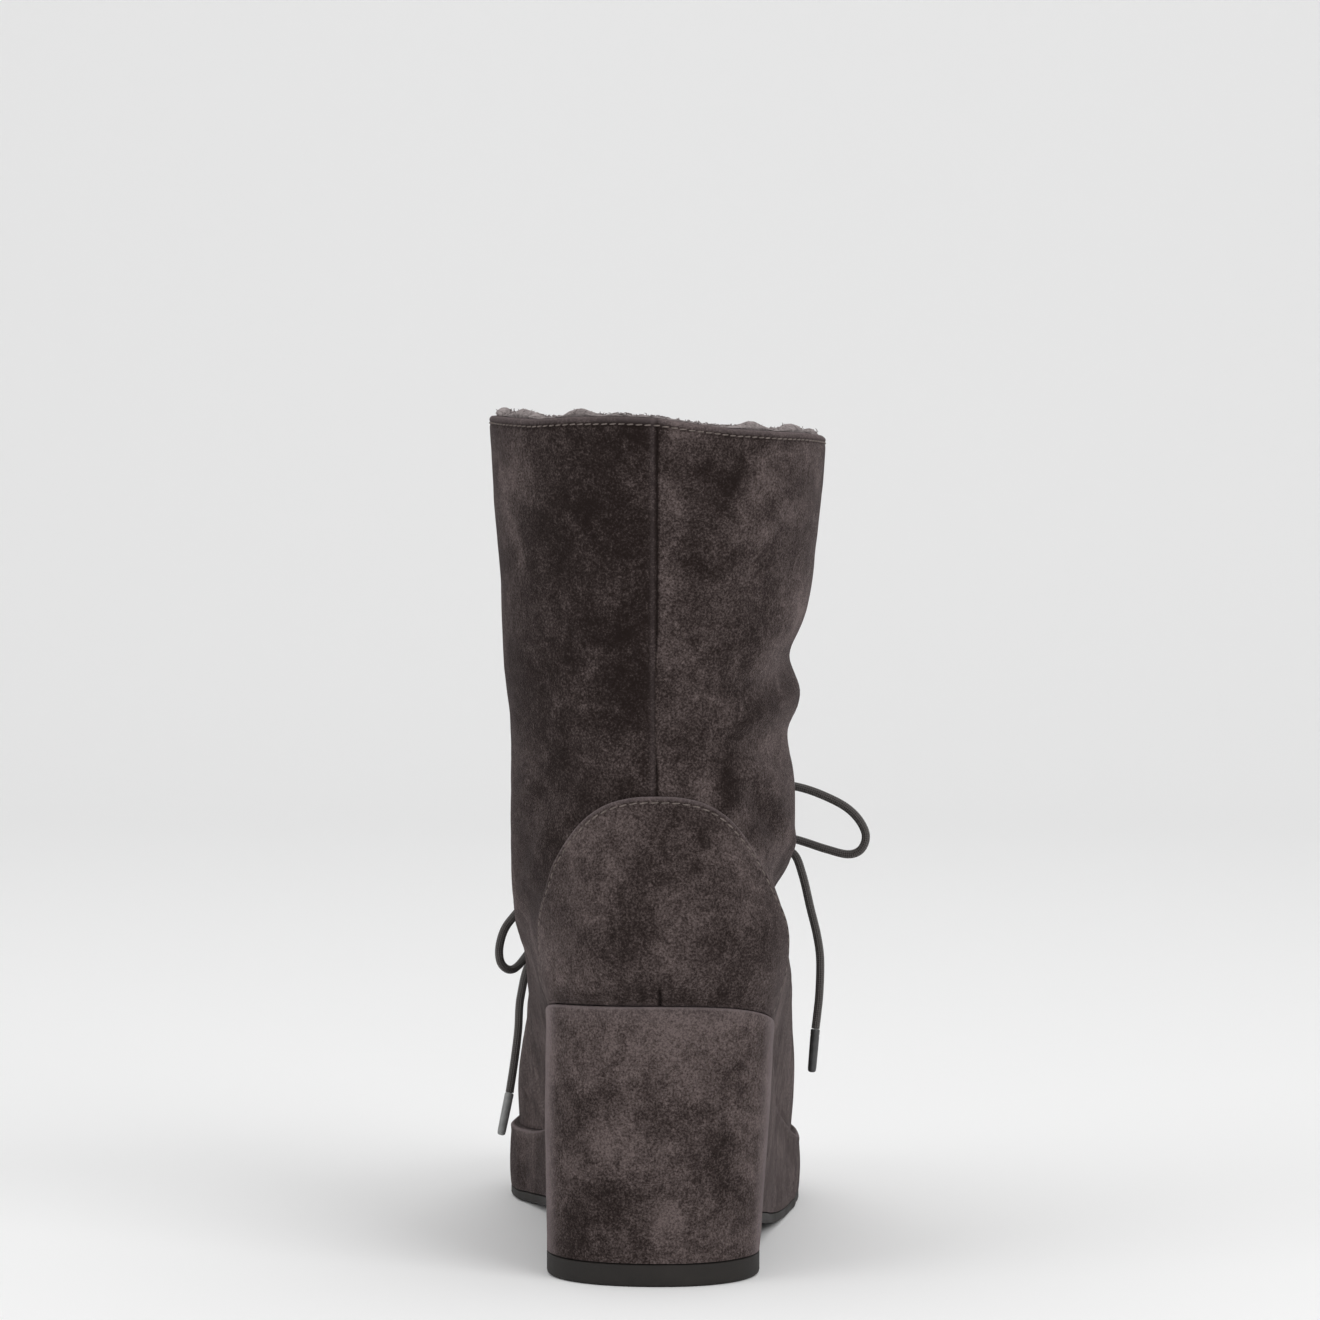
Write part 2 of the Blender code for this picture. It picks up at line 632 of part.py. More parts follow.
def make_upper(materials, parts):
    """Vamp and shaft in one wall, open at the collar, at the throat and underneath."""
    outer, inner = [], []
    shares = column_shares()
    for level in ROW_LEVELS:
        gap = throat_half_width(level)
        lateral = [gap + (side_length(level, 1) - gap) * s for s in shares]
        medial = [-(gap + (side_length(level, -1) - gap) * s) for s in shares[:-1]]
        middle = [gap * (2 * k / THROAT_CELLS - 1) for k in range(1, THROAT_CELLS)]
        runs = lateral + medial[::-1] + middle
        outer.append([over_skin(level, run, 0.0) for run in runs])
        inner.append([over_skin(level, run, -UPPER_WALL) for run in runs])
    first, last = THROAT_ROWS

    def keep(row, column):
        return not (column >= 2 * UPPER_COLUMNS and first <= row < last)

    vertices, faces = shell(np.array(outer), np.array(inner), keep)
    return add_object("upper", vertices, faces, materials["suede"], parts, 60)


def make_counter(materials, parts):
    """The heel counter, a rounded patch over the back of the upper."""
    fine = np.linspace(0.0, COUNTER_SEARCH_LEVEL, 141)
    back = np.array([skin_point(v, side_length(v, 1))[2] for v in fine])
    floor = back[0] + COUNTER_LIFT
    low, high = np.interp([floor, floor + COUNTER_HEIGHT], back, fine)
    levels = rows_between(low, high)
    heights = (np.interp(levels, fine, back) - floor) / COUNTER_HEIGHT
    reaches = dict(zip(levels, smooth_column(COUNTER, COUNTER_COLUMNS, "reach", heights)))
    from_back = 1 - column_shares()[::-1][: COUNTER_COLUMNS_PER_SIDE + 1]
    from_back /= from_back[-1]
    shares = list(-from_back[:0:-1]) + list(from_back)

    def runs(level):
        half = COUNTER_REACH * float(reaches[level])
        return [side_length(level, 1) + half * s for s in shares]

    vertices, faces = skin_patch(
        levels, runs, COUNTER_CLEARANCE, COUNTER_CLEARANCE + COUNTER_THICKNESS
    )
    return add_object("counter", vertices, faces, materials["suede"], parts)


def rows_between(low, high):
    """The upper's rows between two levels, with both levels added."""
    between = [v for v in ROW_LEVELS if low + ROW_GAP_LEVELS < v < high - ROW_GAP_LEVELS]
    return [low] + between + [high]


def facing_run(level, share, side):
    return side * (throat_half_width(level) + FACING_MARGIN + FACING_WIDTH * share)


def eyelet_levels():
    return [level_up_throat(EYELET_FIRST + EYELET_PITCH * i) for i in range(3)]


def make_facings(materials, parts):
    """The two facings beside the throat that the eyelets are set in."""
    first, last = (ROW_LEVELS[row] for row in THROAT_ROWS)
    levels = rows_between(first + FACING_STOP_LEVELS, last - FACING_STOP_LEVELS)
    made = []
    for side, name in ((-1, "facing_medial"), (1, "facing_lateral")):
        def runs(level, side=side):
            return [facing_run(level, s, side) for s in np.linspace(0.0, 1.0, 4)]

        vertices, faces = skin_patch(
            levels, runs, FACING_CLEARANCE, FACING_CLEARANCE + FACING_THICKNESS
        )
        made.append(add_object(name, vertices, faces, materials["suede"], parts))
    return made


def make_tongue(materials, parts):
    """The padded tongue that closes the throat from inside."""
    first, last = (ROW_LEVELS[row] for row in THROAT_ROWS)
    levels = rows_between(first - TONGUE_BELOW_LEVELS, last + TONGUE_ABOVE_LEVELS)
    outside = -UPPER_WALL - CLEARANCE

    def runs(level):
        return [TONGUE_WIDTH / 2 * s for s in np.linspace(-1.0, 1.0, 9)]

    vertices, faces = skin_patch(levels, runs, outside - TONGUE_THICKNESS, outside)
    return add_object("tongue", vertices, faces, materials["suede"], parts)


def aim(thing, point, direction):
    """Sets an object's origin at a point and turns its own Z axis to a direction."""
    thing.location = Vector(map(float, point))
    thing.rotation_mode = "QUATERNION"
    thing.rotation_quaternion = Vector(map(float, direction)).to_track_quat("Z", "Y")


def cut(thing, cutter):
    modifier = thing.modifiers.new("holes", "BOOLEAN")
    modifier.operation = "DIFFERENCE"
    modifier.solver = "EXACT"
    modifier.object = cutter


def eyelet_seat():
    """How far an eyelet's flange stands over the upper's outer face."""
    return FACING_CLEARANCE + FACING_THICKNESS + EYELET_CLEARANCE


def eyelet_profile():
    """The half section of a rolled eyelet, from the top of its hole outwards and round."""
    top, bottom = EYELET_FLANGE_THICKNESS, CLEARANCE - eyelet_seat() - UPPER_WALL
    rolled = EYELET_FLANGE_RADIUS - EYELET_FLANGE_THICKNESS / 2
    return (
        (EYELET_HOLE_RADIUS, top),
        (rolled, top),
        (EYELET_FLANGE_RADIUS, 0.0),
        (EYELET_BARREL_RADIUS, 0.0),
        (EYELET_BARREL_RADIUS, bottom),
        (EYELET_HOLE_RADIUS, bottom),
    )


def turned_ring(name, profile, material, collection):
    """A closed profile turned once round the object's own Z axis."""
    count = len(profile)
    mesh = bpy.data.meshes.new(name)
    mesh.from_pydata([(r, 0.0, h) for r, h in profile], [(i, (i + 1) % count) for i in range(count)], [])
    mesh.materials.append(material)
    thing = bpy.data.objects.new(name, mesh)
    collection.objects.link(thing)
    screw = thing.modifiers.new("turn", "SCREW")
    screw.steps = EYELET_SIDES
    screw.render_steps = EYELET_SIDES
    screw.use_merge_vertices = True
    screw.merge_threshold = 0.00001
    return thing


def add_cutter(name, radius, depth, point, normal, cutters):
    bpy.ops.mesh.primitive_cylinder_add(vertices=EYELET_SIDES, radius=radius, depth=depth)
    cutter = bpy.context.object
    cutter.name = name
    aim(cutter, point, normal)
    cutter.hide_render = True
    cutter.display_type = "WIRE"
    for collection in list(cutter.users_collection):
        collection.objects.unlink(cutter)
    cutters.objects.link(cutter)
    return cutter


def make_eyelets(materials, parts, cutters, pierced):
    """Rolled metal eyelets, each flange on a facing and each barrel through facing and upper."""
    for index, level in enumerate(eyelet_levels()):
        for side, word in ((-1, "medial"), (1, "lateral")):
            run = facing_run(level, 0.5, side)
            normal = skin_normal(level, run)
            name = f"eyelet_{word}_{index + 1}"
            ring = turned_ring(name, eyelet_profile(), materials["gunmetal"], parts)
            aim(ring, over_skin(level, run, eyelet_seat()), normal)
            cutter = add_cutter(
                f"{name}_hole", EYELET_BARREL_RADIUS + EYELET_HOLE_MARGIN, 6 * UPPER_WALL,
                skin_point(level, run), normal, cutters,
            )
            cut(pierced["upper"], cutter)
            cut(pierced[f"facing_{word}"], cutter)


def through(points, spacing):
    """Evenly spaced points on a smooth curve through a route's own points."""
    points = np.array(points, float)
    padded = np.vstack([2 * points[0] - points[1], points, 2 * points[-1] - points[-2]])
    fine = []
    for i in range(1, len(padded) - 2):
        a, b, c, d = padded[i - 1 : i + 3]
        for t in np.linspace(0.0, 1.0, 12, endpoint=False):
            fine.append(
                0.5 * (2 * b + (c - a) * t + (2 * a - 5 * b + 4 * c - d) * t**2
                       + (3 * b - 3 * c + d - a) * t**3)
            )
    fine = np.array(fine + [points[-1]])
    run = np.concatenate([[0.0], np.cumsum(np.linalg.norm(np.diff(fine, axis=0), axis=1))])
    count = max(2, round(run[-1] / spacing) + 1)
    at = np.linspace(0.0, run[-1], count)
    return np.stack([np.interp(at, run, fine[:, k]) for k in range(3)], axis=1)


def tube(name, points, diameter, material, collection):
    curve = bpy.data.curves.new(name, "CURVE")
    curve.dimensions = "3D"
    curve.bevel_depth = diameter / 2
    curve.bevel_resolution = 2
    curve.use_fill_caps = True
    spline = curve.splines.new("POLY")
    spline.points.add(len(points) - 1)
    for place, point in zip(spline.points, points):
        place.co = (*map(float, point), 1.0)
    curve.materials.append(material)
    thing = bpy.data.objects.new(name, curve)
    collection.objects.link(thing)
    return thing


def solid_from(thing, collection):
    """The same tube as a closed mesh, with its caps joined on."""
    graph = bpy.context.evaluated_depsgraph_get()
    mesh = bpy.data.meshes.new_from_object(thing.evaluated_get(graph))
    shaped = bmesh.new()
    shaped.from_mesh(mesh)
    bmesh.ops.remove_doubles(shaped, verts=shaped.verts, dist=1e-6)
    bmesh.ops.recalc_face_normals(shaped, faces=shaped.faces)
    shaped.to_mesh(mesh)
    shaped.free()
    name = thing.name
    solid = bpy.data.objects.new(name + "_solid", mesh)
    solid.matrix_world = thing.matrix_world.copy()
    collection.objects.link(solid)
    bpy.data.objects.remove(thing)
    solid.name = name
    return solid


def knot_centre():
    return over_skin(KNOT_LEVEL, 0.0, KNOT_LIFT) - np.array([KNOT_ASIDE, 0.0, 0.0])


def laid(route):
    """A route's points, or its one point, in their place beside the knot."""
    return knot_centre() + SHAFT_WIDTH * np.array(route)


def beside_knot(point):
    """Where a lace from this point meets the knot."""
    knot = knot_centre()
    toward = np.array(point) - knot
    share = 1 / np.linalg.norm(toward / np.array(KNOT_HALF_SIZES))
    return knot + toward * (share + KNOT_CLEARANCE / np.linalg.norm(toward))


def make_lace_bars(materials, parts, cutters):
    """The crossings over the throat, as one joined solid clear of the eyelets."""
    over = eyelet_seat() + EYELET_FLANGE_THICKNESS + LACE_CLEARANCE + LACE_DIAMETER / 2
    levels = eyelet_levels()

    def route(low, high, start, end):
        shares = np.linspace(0.0, 1.0, 5) if high > low else np.linspace(0.0, 1.0, 4)
        places = []
        for s in shares:
            level = low + (high - low) * s
            reach = abs(facing_run(level, 0.5, 1))
            places.append(over_skin(level, reach * (start + (end - start) * s), over))
        return places

    routes = [route(levels[0], levels[0], -1, 1)]
    for low, high in zip(levels, levels[1:]):
        routes.append(route(low, high, -1, 1))
        routes.append(route(low, high, 1, -1))
    for side in (-1, 1):
        start = over_skin(levels[-1], facing_run(levels[-1], 0.5, side), over)
        routes.append([start, beside_knot(start)])
    tubes = []
    for i, places in enumerate(routes):
        line = tube(f"bar_{i}", places, LACE_DIAMETER, materials["waxed_cord"], parts)
        tubes.append(solid_from(line, parts))
    bars = tubes[0]
    bars.name = "lace_bars"
    for other in tubes[1:]:
        join = bars.modifiers.new("join", "BOOLEAN")
        join.operation = "UNION"
        join.solver = "MANIFOLD"
        join.object = other
        other.hide_render = True
        other.display_type = "WIRE"
        parts.objects.unlink(other)
        cutters.objects.link(other)
    return bars


def make_free_lace(materials, parts):
    """The knot, both loops and both ends of the bow, with their aglets."""
    bpy.ops.mesh.primitive_uv_sphere_add(segments=12, ring_count=8, radius=1.0)
    knot = bpy.context.object
    knot.name = "lace_knot"
    knot.data.transform(Matrix.Diagonal((*KNOT_HALF_SIZES, 1.0)))
    knot.location = tuple(map(float, knot_centre()))
    knot.data.shade_smooth()
    knot.data.materials.append(materials["waxed_cord"])
    for collection in list(knot.users_collection):
        collection.objects.unlink(knot)
    parts.objects.link(knot)
    for name, loop in (("lace_loop_lateral", LATERAL_LOOP), ("lace_loop_medial", MEDIAL_LOOP)):
        points = laid(loop)
        route = [beside_knot(points[0]), *points[1:-1], beside_knot(points[-1])]
        tube(name, through(route, CORD_POINT_SPACING), LACE_DIAMETER, materials["waxed_cord"], parts)
    for name, end in (("lace_end_lateral", LATERAL_END), ("lace_end_medial", MEDIAL_END)):
        points = laid(end)
        route = [beside_knot(points[0]), *points[1:]]
        tube(name, through(route, CORD_POINT_SPACING), LACE_DIAMETER, materials["waxed_cord"], parts)
    for name, last, tip in (
        ("aglet_lateral", LATERAL_END[-1], LATERAL_TIP),
        ("aglet_medial", MEDIAL_END[-1], MEDIAL_TIP),
    ):
        last, tip = laid(last), laid(tip)
        direction = (tip - last) / np.linalg.norm(tip - last)
        start = last + direction * CLEARANCE
        ends = [start, start + direction * AGLET_LENGTH]
        tube(name, ends, AGLET_DIAMETER, materials["aglet"], parts)


def main():
    for thing in list(bpy.data.objects):
        bpy.data.objects.remove(thing)
    parts = bpy.data.collections.new("wedge_boot")
    cutters = bpy.data.collections.new("cutters")
    bpy.context.scene.collection.children.link(parts)
    bpy.context.scene.collection.children.link(cutters)
    materials = make_materials()
    make_outsole(materials, parts)
    make_wedge(materials, parts)
    make_insole(materials, parts)
    pierced = {"upper": make_upper(materials, parts)}
    make_counter(materials, parts)
    pierced.update({facing.name: facing for facing in make_facings(materials, parts)})
    make_tongue(materials, parts)
    make_eyelets(materials, parts, cutters, pierced)
    make_lace_bars(materials, parts, cutters)
    make_free_lace(materials, parts)


main()
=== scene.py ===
"""A suede wedge boot for the right foot: suede, fleece, stitches, eyelets and lace over its solids.

The shapes come from the same sizes, tables and sections as the solids, read more finely. +Y runs from
heel to toe, +X to the outer side of the foot and +Z up, in metres.
"""

import math

import bmesh
import bpy
import numpy as np
from mathutils import Matrix, Vector, noise


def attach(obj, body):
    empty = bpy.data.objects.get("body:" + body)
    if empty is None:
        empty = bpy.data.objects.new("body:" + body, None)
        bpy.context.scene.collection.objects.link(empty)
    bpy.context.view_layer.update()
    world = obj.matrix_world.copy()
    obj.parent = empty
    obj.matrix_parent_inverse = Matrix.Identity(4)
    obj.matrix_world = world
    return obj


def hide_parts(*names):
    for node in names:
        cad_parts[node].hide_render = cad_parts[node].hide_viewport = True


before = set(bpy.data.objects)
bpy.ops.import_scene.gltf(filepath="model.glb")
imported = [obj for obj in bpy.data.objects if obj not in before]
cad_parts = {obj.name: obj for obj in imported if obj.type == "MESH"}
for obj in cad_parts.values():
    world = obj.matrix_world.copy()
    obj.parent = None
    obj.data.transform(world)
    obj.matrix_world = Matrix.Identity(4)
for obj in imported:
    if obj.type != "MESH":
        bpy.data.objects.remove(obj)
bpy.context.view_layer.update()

bl_info = {
    "name": "Suede wedge boot",
    "version": (1, 0, 0),
    "blender": (4, 5, 0),
    "location": "3D View > Sidebar > Boot",
    "description": "Builds the finish of a laced suede wedge boot with a fleece lining",
    "category": "Object",
}

# Sole
SOLE_LENGTH = 0.250
BALL_WIDTH = 0.0985
HEEL_WIDTH = 0.0726
HEEL_CENTRE = 0.025
HEEL_HEIGHT = 0.089
PLATFORM_HEIGHT = 0.0252
ARCH_RISE = 0.0095
TOE_SPRING = 0.012
OUTSOLE_THICKNESS = 0.0034
TOP_PIECE_THICKNESS = 0.0072
HEEL_TAPER = 0.0045
WEDGE_EDGE_ROUND = 0.0012
OUTSOLE_EDGE_ROUND = 0.0010
INSOLE_THICKNESS = 0.0040
INSOLE_MARGIN = 0.0016

# Upper
UPPER_INSET = 0.0028
UPPER_WALL = 0.0026
SHAFT_DEPTH = 0.120
SHAFT_WIDTH = 0.1090
INSTEP_HEIGHT = 0.150
BOOT_HEIGHT = 0.271
COLLAR_TILT = 0.0035
COUNTER_THICKNESS = 0.0014
COUNTER_CLEARANCE = 0.0008
COUNTER_LIFT = 0.0001
COUNTER_REACH = 0.061
COUNTER_HEIGHT = 0.0656

# Throat, facings, eyelets and tongue
THROAT_WIDTH = 0.018
FACING_WIDTH = 0.0150
FACING_THICKNESS = 0.0013
FACING_MARGIN = 0.0012
FACING_CLEARANCE = 0.0004
EYELET_PITCH = 0.0205
EYELET_FIRST = 0.0125
EYELET_HOLE_RADIUS = 0.0021
EYELET_BARREL_RADIUS = 0.0027
EYELET_FLANGE_RADIUS = 0.0043
EYELET_FLANGE_THICKNESS = 0.0007
EYELET_CLEARANCE = 0.0005
EYELET_HOLE_MARGIN = 0.0004
TONGUE_THICKNESS = 0.0040
TONGUE_WIDTH = 0.046

# Lace
LACE_DIAMETER = 0.0028
AGLET_DIAMETER = 0.0031
AGLET_LENGTH = 0.0145

CLEARANCE = 0.0003
FEATHER_CLEARANCE = 0.0004
INSOLE_CLEARANCE = 0.0005
KNOT_CLEARANCE = 0.0009

NORMAL_STEP = 0.0025
NORMAL_RISE = 0.012
UPRIGHT_LEVEL = 0.05
SECTION_SAMPLES = 361
SKIN_LEVELS = 401
SKIN_SHARES = 721
THROAT_LEVELS = (0.395, 0.605)
FACING_STOP = 0.004
TONGUE_BELOW = 0.035
TONGUE_ABOVE = 0.055

OUTLINE_COLUMNS = ("station", "medial", "lateral", "of_ball")
OUTLINE = (
    (0.00, 0.970, 1.025, 0.0), (0.12, 0.972, 1.028, 0.0), (0.24, 0.950, 1.033, 0.0),
    (0.40, 0.910, 1.068, 0.0), (0.52, 0.818, 0.990, 0.5), (0.60, 0.836, 0.972, 0.8),
    (0.66, 0.889, 0.966, 1.0), (0.72, 0.993, 0.993, 1.0), (0.78, 1.040, 0.990, 1.0),
    (0.84, 1.045, 0.965, 1.0), (0.92, 1.070, 0.910, 1.0), (1.00, 1.120, 0.840, 1.0),
)
HEEL_ROUND_SHARE = 0.125
TOE_ROUND_SHARE = 0.265
OUTLINE_POWER = 2.2

PROFILE_COLUMNS = (
    "station", "pitch_medial", "pitch_lateral", "arch_medial", "arch_lateral", "toe",
)
PROFILE = (
    (0.00, 1.000, 1.000, 0.00, 0.00, 0.00), (0.06, 0.985, 0.940, 0.00, 0.00, 0.00),
    (0.13, 0.940, 0.860, 0.00, 0.00, 0.00), (0.18, 0.870, 0.780, 0.00, 0.00, 0.00),
    (0.22, 0.795, 0.705, 0.60, 0.60, 0.00), (0.27, 0.690, 0.610, 0.97, 0.97, 0.00),
    (0.34, 0.525, 0.480, 0.96, 0.72, 0.00), (0.42, 0.340, 0.330, 0.82, 0.36, 0.00),
    (0.50, 0.170, 0.190, 0.56, 0.12, 0.00), (0.58, 0.075, 0.085, 0.30, 0.00, 0.00),
    (0.66, 0.015, -0.005, 0.12, 0.00, 0.00), (0.73, 0.000, -0.040, 0.00, 0.00, 0.00),
    (0.80, 0.000, -0.030, 0.00, 0.00, 0.00), (0.86, 0.000, -0.015, 0.00, 0.00, 0.16),
    (0.92, 0.000, 0.000, 0.00, 0.00, 0.46), (1.00, 0.000, 0.000, 0.00, 0.00, 1.00),
)
TOE_TOP_SHARE = 0.40
TOP_PIECE_STATIONS = (0.195, 0.245)
TAPER_STATIONS = (0.20, 0.50)

LEVEL_COLUMNS = (
    "level", "back_in", "back_rise", "reach", "foot_rise", "shaft_rise", "front_round",
    "back_medial", "back_lateral", "power", "fullness", "shaft_share", "half_medial", "half_lateral",
)
LEVELS = (
    (0.00, 0.000, 0.000, 1.000, 0.000, 0.000, 0.265, 0.128, 0.128, 2.20, 1.000, 0.00, 0.800, 0.780),
    (0.05, -0.024, 0.044, 1.000, 0.090, 0.000, 0.290, 0.150, 0.145, 2.20, 1.030, 0.15, 0.840, 0.830),
    (0.11, -0.040, 0.099, 0.966, 0.176, 0.000, 0.335, 0.270, 0.180, 2.20, 1.045, 0.38, 0.862, 0.862),
    (0.17, -0.040, 0.159, 0.880, 0.250, 0.000, 0.410, 0.350, 0.220, 2.20, 1.045, 0.64, 0.870, 0.868),
    (0.24, -0.024, 0.214, 0.722, 0.322, 0.000, 0.500, 0.400, 0.260, 2.15, 1.030, 0.85, 0.868, 0.850),
    (0.31, -0.004, 0.264, 0.526, 0.395, 0.000, 0.560, 0.420, 0.300, 2.05, 1.000, 1.00, 0.870, 0.830),
    (0.38, 0.012, 0.308, 0.340, 0.490, 0.000, 0.560, 0.430, 0.360, 2.00, 1.000, 1.00, 0.876, 0.820),
    (0.45, 0.024, 0.352, 0.192, 0.615, 0.000, 0.550, 0.440, 0.420, 2.00, 1.000, 1.00, 0.876, 0.820),
    (0.52, 0.029, 0.401, 0.088, 0.790, 0.000, 0.530, 0.460, 0.450, 2.00, 1.000, 1.00, 0.872, 0.826),
    (0.60, 0.029, 0.473, 0.026, 1.000, 0.000, 0.510, 0.480, 0.480, 2.00, 1.000, 1.00, 0.880, 0.830),
    (0.70, 0.020, 0.582, -0.002, 1.000, 0.248, 0.500, 0.500, 0.500, 2.00, 1.000, 1.00, 0.914, 0.880),
    (0.82, 0.004, 0.720, -0.004, 1.000, 0.529, 0.500, 0.500, 0.500, 2.00, 1.000, 1.00, 0.930, 0.914),
    (0.92, -0.020, 0.868, 0.014, 1.000, 0.785, 0.500, 0.500, 0.500, 2.00, 1.000, 1.00, 0.967, 0.967),
    (1.00, -0.036, 1.000, 0.034, 1.000, 0.970, 0.500, 0.500, 0.500, 2.00, 1.000, 1.00, 1.000, 1.000),
)

FOLD_COLUMNS = ("side", "height", "station", "depth", "half_height", "half_run", "slant")
FOLDS = (
    (1, 0.722, 0.250, -0.048, 0.042, 0.190, 0.10),
    (1, 0.684, 0.260, 0.010, 0.028, 0.160, 0.05),
    (1, 0.630, 0.260, -0.036, 0.034, 0.190, -0.05),
    (1, 0.420, 0.300, -0.070, 0.046, 0.180, -0.20),
    (-1, 0.655, 0.300, -0.012, 0.050, 0.160, 0.15),
    (-1, 0.365, 0.300, -0.016, 0.045, 0.160, -0.15),
)

THROAT_COLUMNS = ("level", "half_width")
THROAT = (
    (0.00, 0.30), (0.30, 0.25), (0.40, 0.40), (0.48, 0.80), (0.60, 1.00), (0.70, 0.60), (1.00, 0.55),
)

# The counter's outline: reach forward from the back seam and height above the feather edge, as shares.
COUNTER_EDGE = (
    (0.86, 0.000), (0.915, 0.06), (0.97, 0.14), (1.00, 0.30), (0.90, 0.48), (0.74, 0.64), (0.60, 0.78),
    (0.43, 0.90), (0.28, 0.97), (0.14, 0.996), (0.00, 1.000),
)

# The bow's route, in shares of the shaft's width from the knot's centre.
KNOT_LEVEL = 0.5335
KNOT_LIFT = 0.01094
KNOT_ASIDE = 0.0020
KNOT_HALF_SIZES = (0.0068, 0.0042, 0.0052)
LATERAL_LOOP = (
    (0.081, 0.009, 0.023), (0.156, -0.014, 0.078), (0.294, -0.083, 0.133), (0.444, -0.151, 0.127),
    (0.558, -0.174, 0.088), (0.624, -0.188, 0.044), (0.658, -0.197, -0.014), (0.646, -0.197, -0.061),
    (0.606, -0.188, -0.079), (0.537, -0.174, -0.064), (0.444, -0.142, -0.037), (0.294, -0.087, -0.005),
    (0.183, -0.023, -0.014), (0.083, 0.014, -0.023),
)
MEDIAL_LOOP = (
    (-0.081, 0.009, 0.009), (-0.156, -0.009, -0.028), (-0.257, -0.032, -0.110), (-0.349, -0.069, -0.197),
    (-0.423, -0.101, -0.278), (-0.454, -0.115, -0.321), (-0.469, -0.124, -0.376), (-0.464, -0.124, -0.421),
    (-0.440, -0.110, -0.444), (-0.411, -0.064, -0.436), (-0.362, 0.014, -0.381), (-0.284, 0.060, -0.303),
    (-0.183, 0.069, -0.202), (-0.119, 0.055, -0.115), (-0.069, 0.028, -0.055),
)
LATERAL_END = (
    (0.055, 0.046, -0.064), (0.156, 0.032, -0.092), (0.294, -0.032, -0.083), (0.385, -0.096, -0.069),
    (0.439, -0.133, -0.083), (0.466, -0.151, -0.147), (0.490, -0.161, -0.248), (0.510, -0.165, -0.330),
    (0.520, -0.170, -0.404), (0.518, -0.170, -0.505), (0.511, -0.170, -0.578), (0.506, -0.170, -0.619),
)
LATERAL_TIP = (0.495, -0.170, -0.752)
MEDIAL_END = (
    (-0.009, 0.069, -0.069), (-0.064, 0.124, -0.138), (-0.147, 0.147, -0.229), (-0.257, 0.170, -0.321),
    (-0.372, 0.151, -0.436), (-0.408, 0.096, -0.550), (-0.415, 0.032, -0.651), (-0.426, -0.014, -0.743),
    (-0.440, -0.041, -0.835),
)
MEDIAL_TIP = (-0.466, -0.078, -0.963)

# Columns of the upper: distances from the throat's edge and from the back seam, where they stand close
THROAT_EDGE_COLUMNS = (0.0, 0.0004, 0.0010, 0.0018, 0.0032)
SEAM_COLUMNS = (0.0052, 0.0036, 0.0025, 0.0017, 0.0011, 0.00065, 0.0003, 0.0)
SIDE_COLUMNS = 84
COLUMN_CROWDING = 0.5
COLLAR_EDGE_ROWS = (0.0, 0.0005, 0.0011, 0.0019, 0.0027, 0.0033, 0.0039, 0.0047, 0.0060)
BODY_ROWS = 170

CAMERA_PLACE = (0.00096, -1.825, 0.30904)
CAMERA_PITCH = 3.527
CAMERA_LENS = 157.17


def linear(hex_colour):
    """An sRGB hex colour as the linear values that a shader takes."""
    values = [int(hex_colour[i : i + 2], 16) / 255 for i in (1, 3, 5)]
    return tuple(v / 12.92 if v <= 0.04045 else ((v + 0.055) / 1.055) ** 2.4 for v in values)


def colour_property(name, description, hex_colour):
    return bpy.props.FloatVectorProperty(
        name=name, description=description, subtype="COLOR", size=3, min=0.0, max=1.0,
        default=linear(hex_colour),
    )


def length_property(name, description, default):
    return bpy.props.FloatProperty(
        name=name, description=description, subtype="DISTANCE", unit="LENGTH", min=0.0, default=default,
        precision=5,
    )


class BootSizes(bpy.types.PropertyGroup):
    """Small sizes of the finish"""

    collar_stitch_inset: length_property("Collar stitch inset", "Stitch row below the collar edge", 0.0022)
    collar_stitch_pitch: length_property("Collar stitch pitch", "Length of one collar stitch", 0.0028)
    counter_stitch_inset: length_property("Counter stitch inset", "Stitch row inside the counter's edge", 0.0020)
    counter_stitch_pitch: length_property("Counter stitch pitch", "Length of one counter stitch", 0.0034)
    thread_radius: length_property("Thread radius", "Half the sewing thread's thickness", 0.00026)
    seam_depth: length_property("Seam depth", "How deep the back seam lies", 0.00050)
    pile_thickness: length_property("Pile thickness", "Thickness of the fleece lining", 0.0048)
    pile_rise: length_property("Pile rise", "How far its locks stand over the collar", 0.0024)
    wool_length: length_property("Wool length", "Length of one lock of wool", 0.0040)


class BootColours(bpy.types.PropertyGroup):
    """Colours of the finish"""

    suede_dark: colour_property("Suede, laid nap", "Suede where the nap lies down", "#1f1715")
    suede_light: colour_property("Suede, raised nap", "Suede where the nap stands up", "#6c605e")
    # This colour is also painted as sheen along the heel block's outline and as a highlight on the wedge's top edge.
    suede_worn_and_sheen: colour_property("Suede, worn edge", "Suede along edges and folds", "#85797a")
    thread: colour_property("Thread", "Sewing thread", "#746a65")
    rubber: colour_property("Rubber", "Outsole", "#282523")
    fleece: colour_property("Fleece", "Wool pile of the lining", "#9a9190")
    cord: colour_property("Lace", "Waxed lace", "#524e4c")
    metal: colour_property("Eyelet metal", "Gunmetal eyelets", "#5a5652")
    aglet_clear: colour_property("Aglet, medial", "Plastic tip of the medial end", "#8b8c8b")
    aglet_dark: colour_property("Aglet, lateral", "Plastic tip of the lateral end", "#454545")
    floor: colour_property("Floor", "Studio floor", "#f7f7f7")


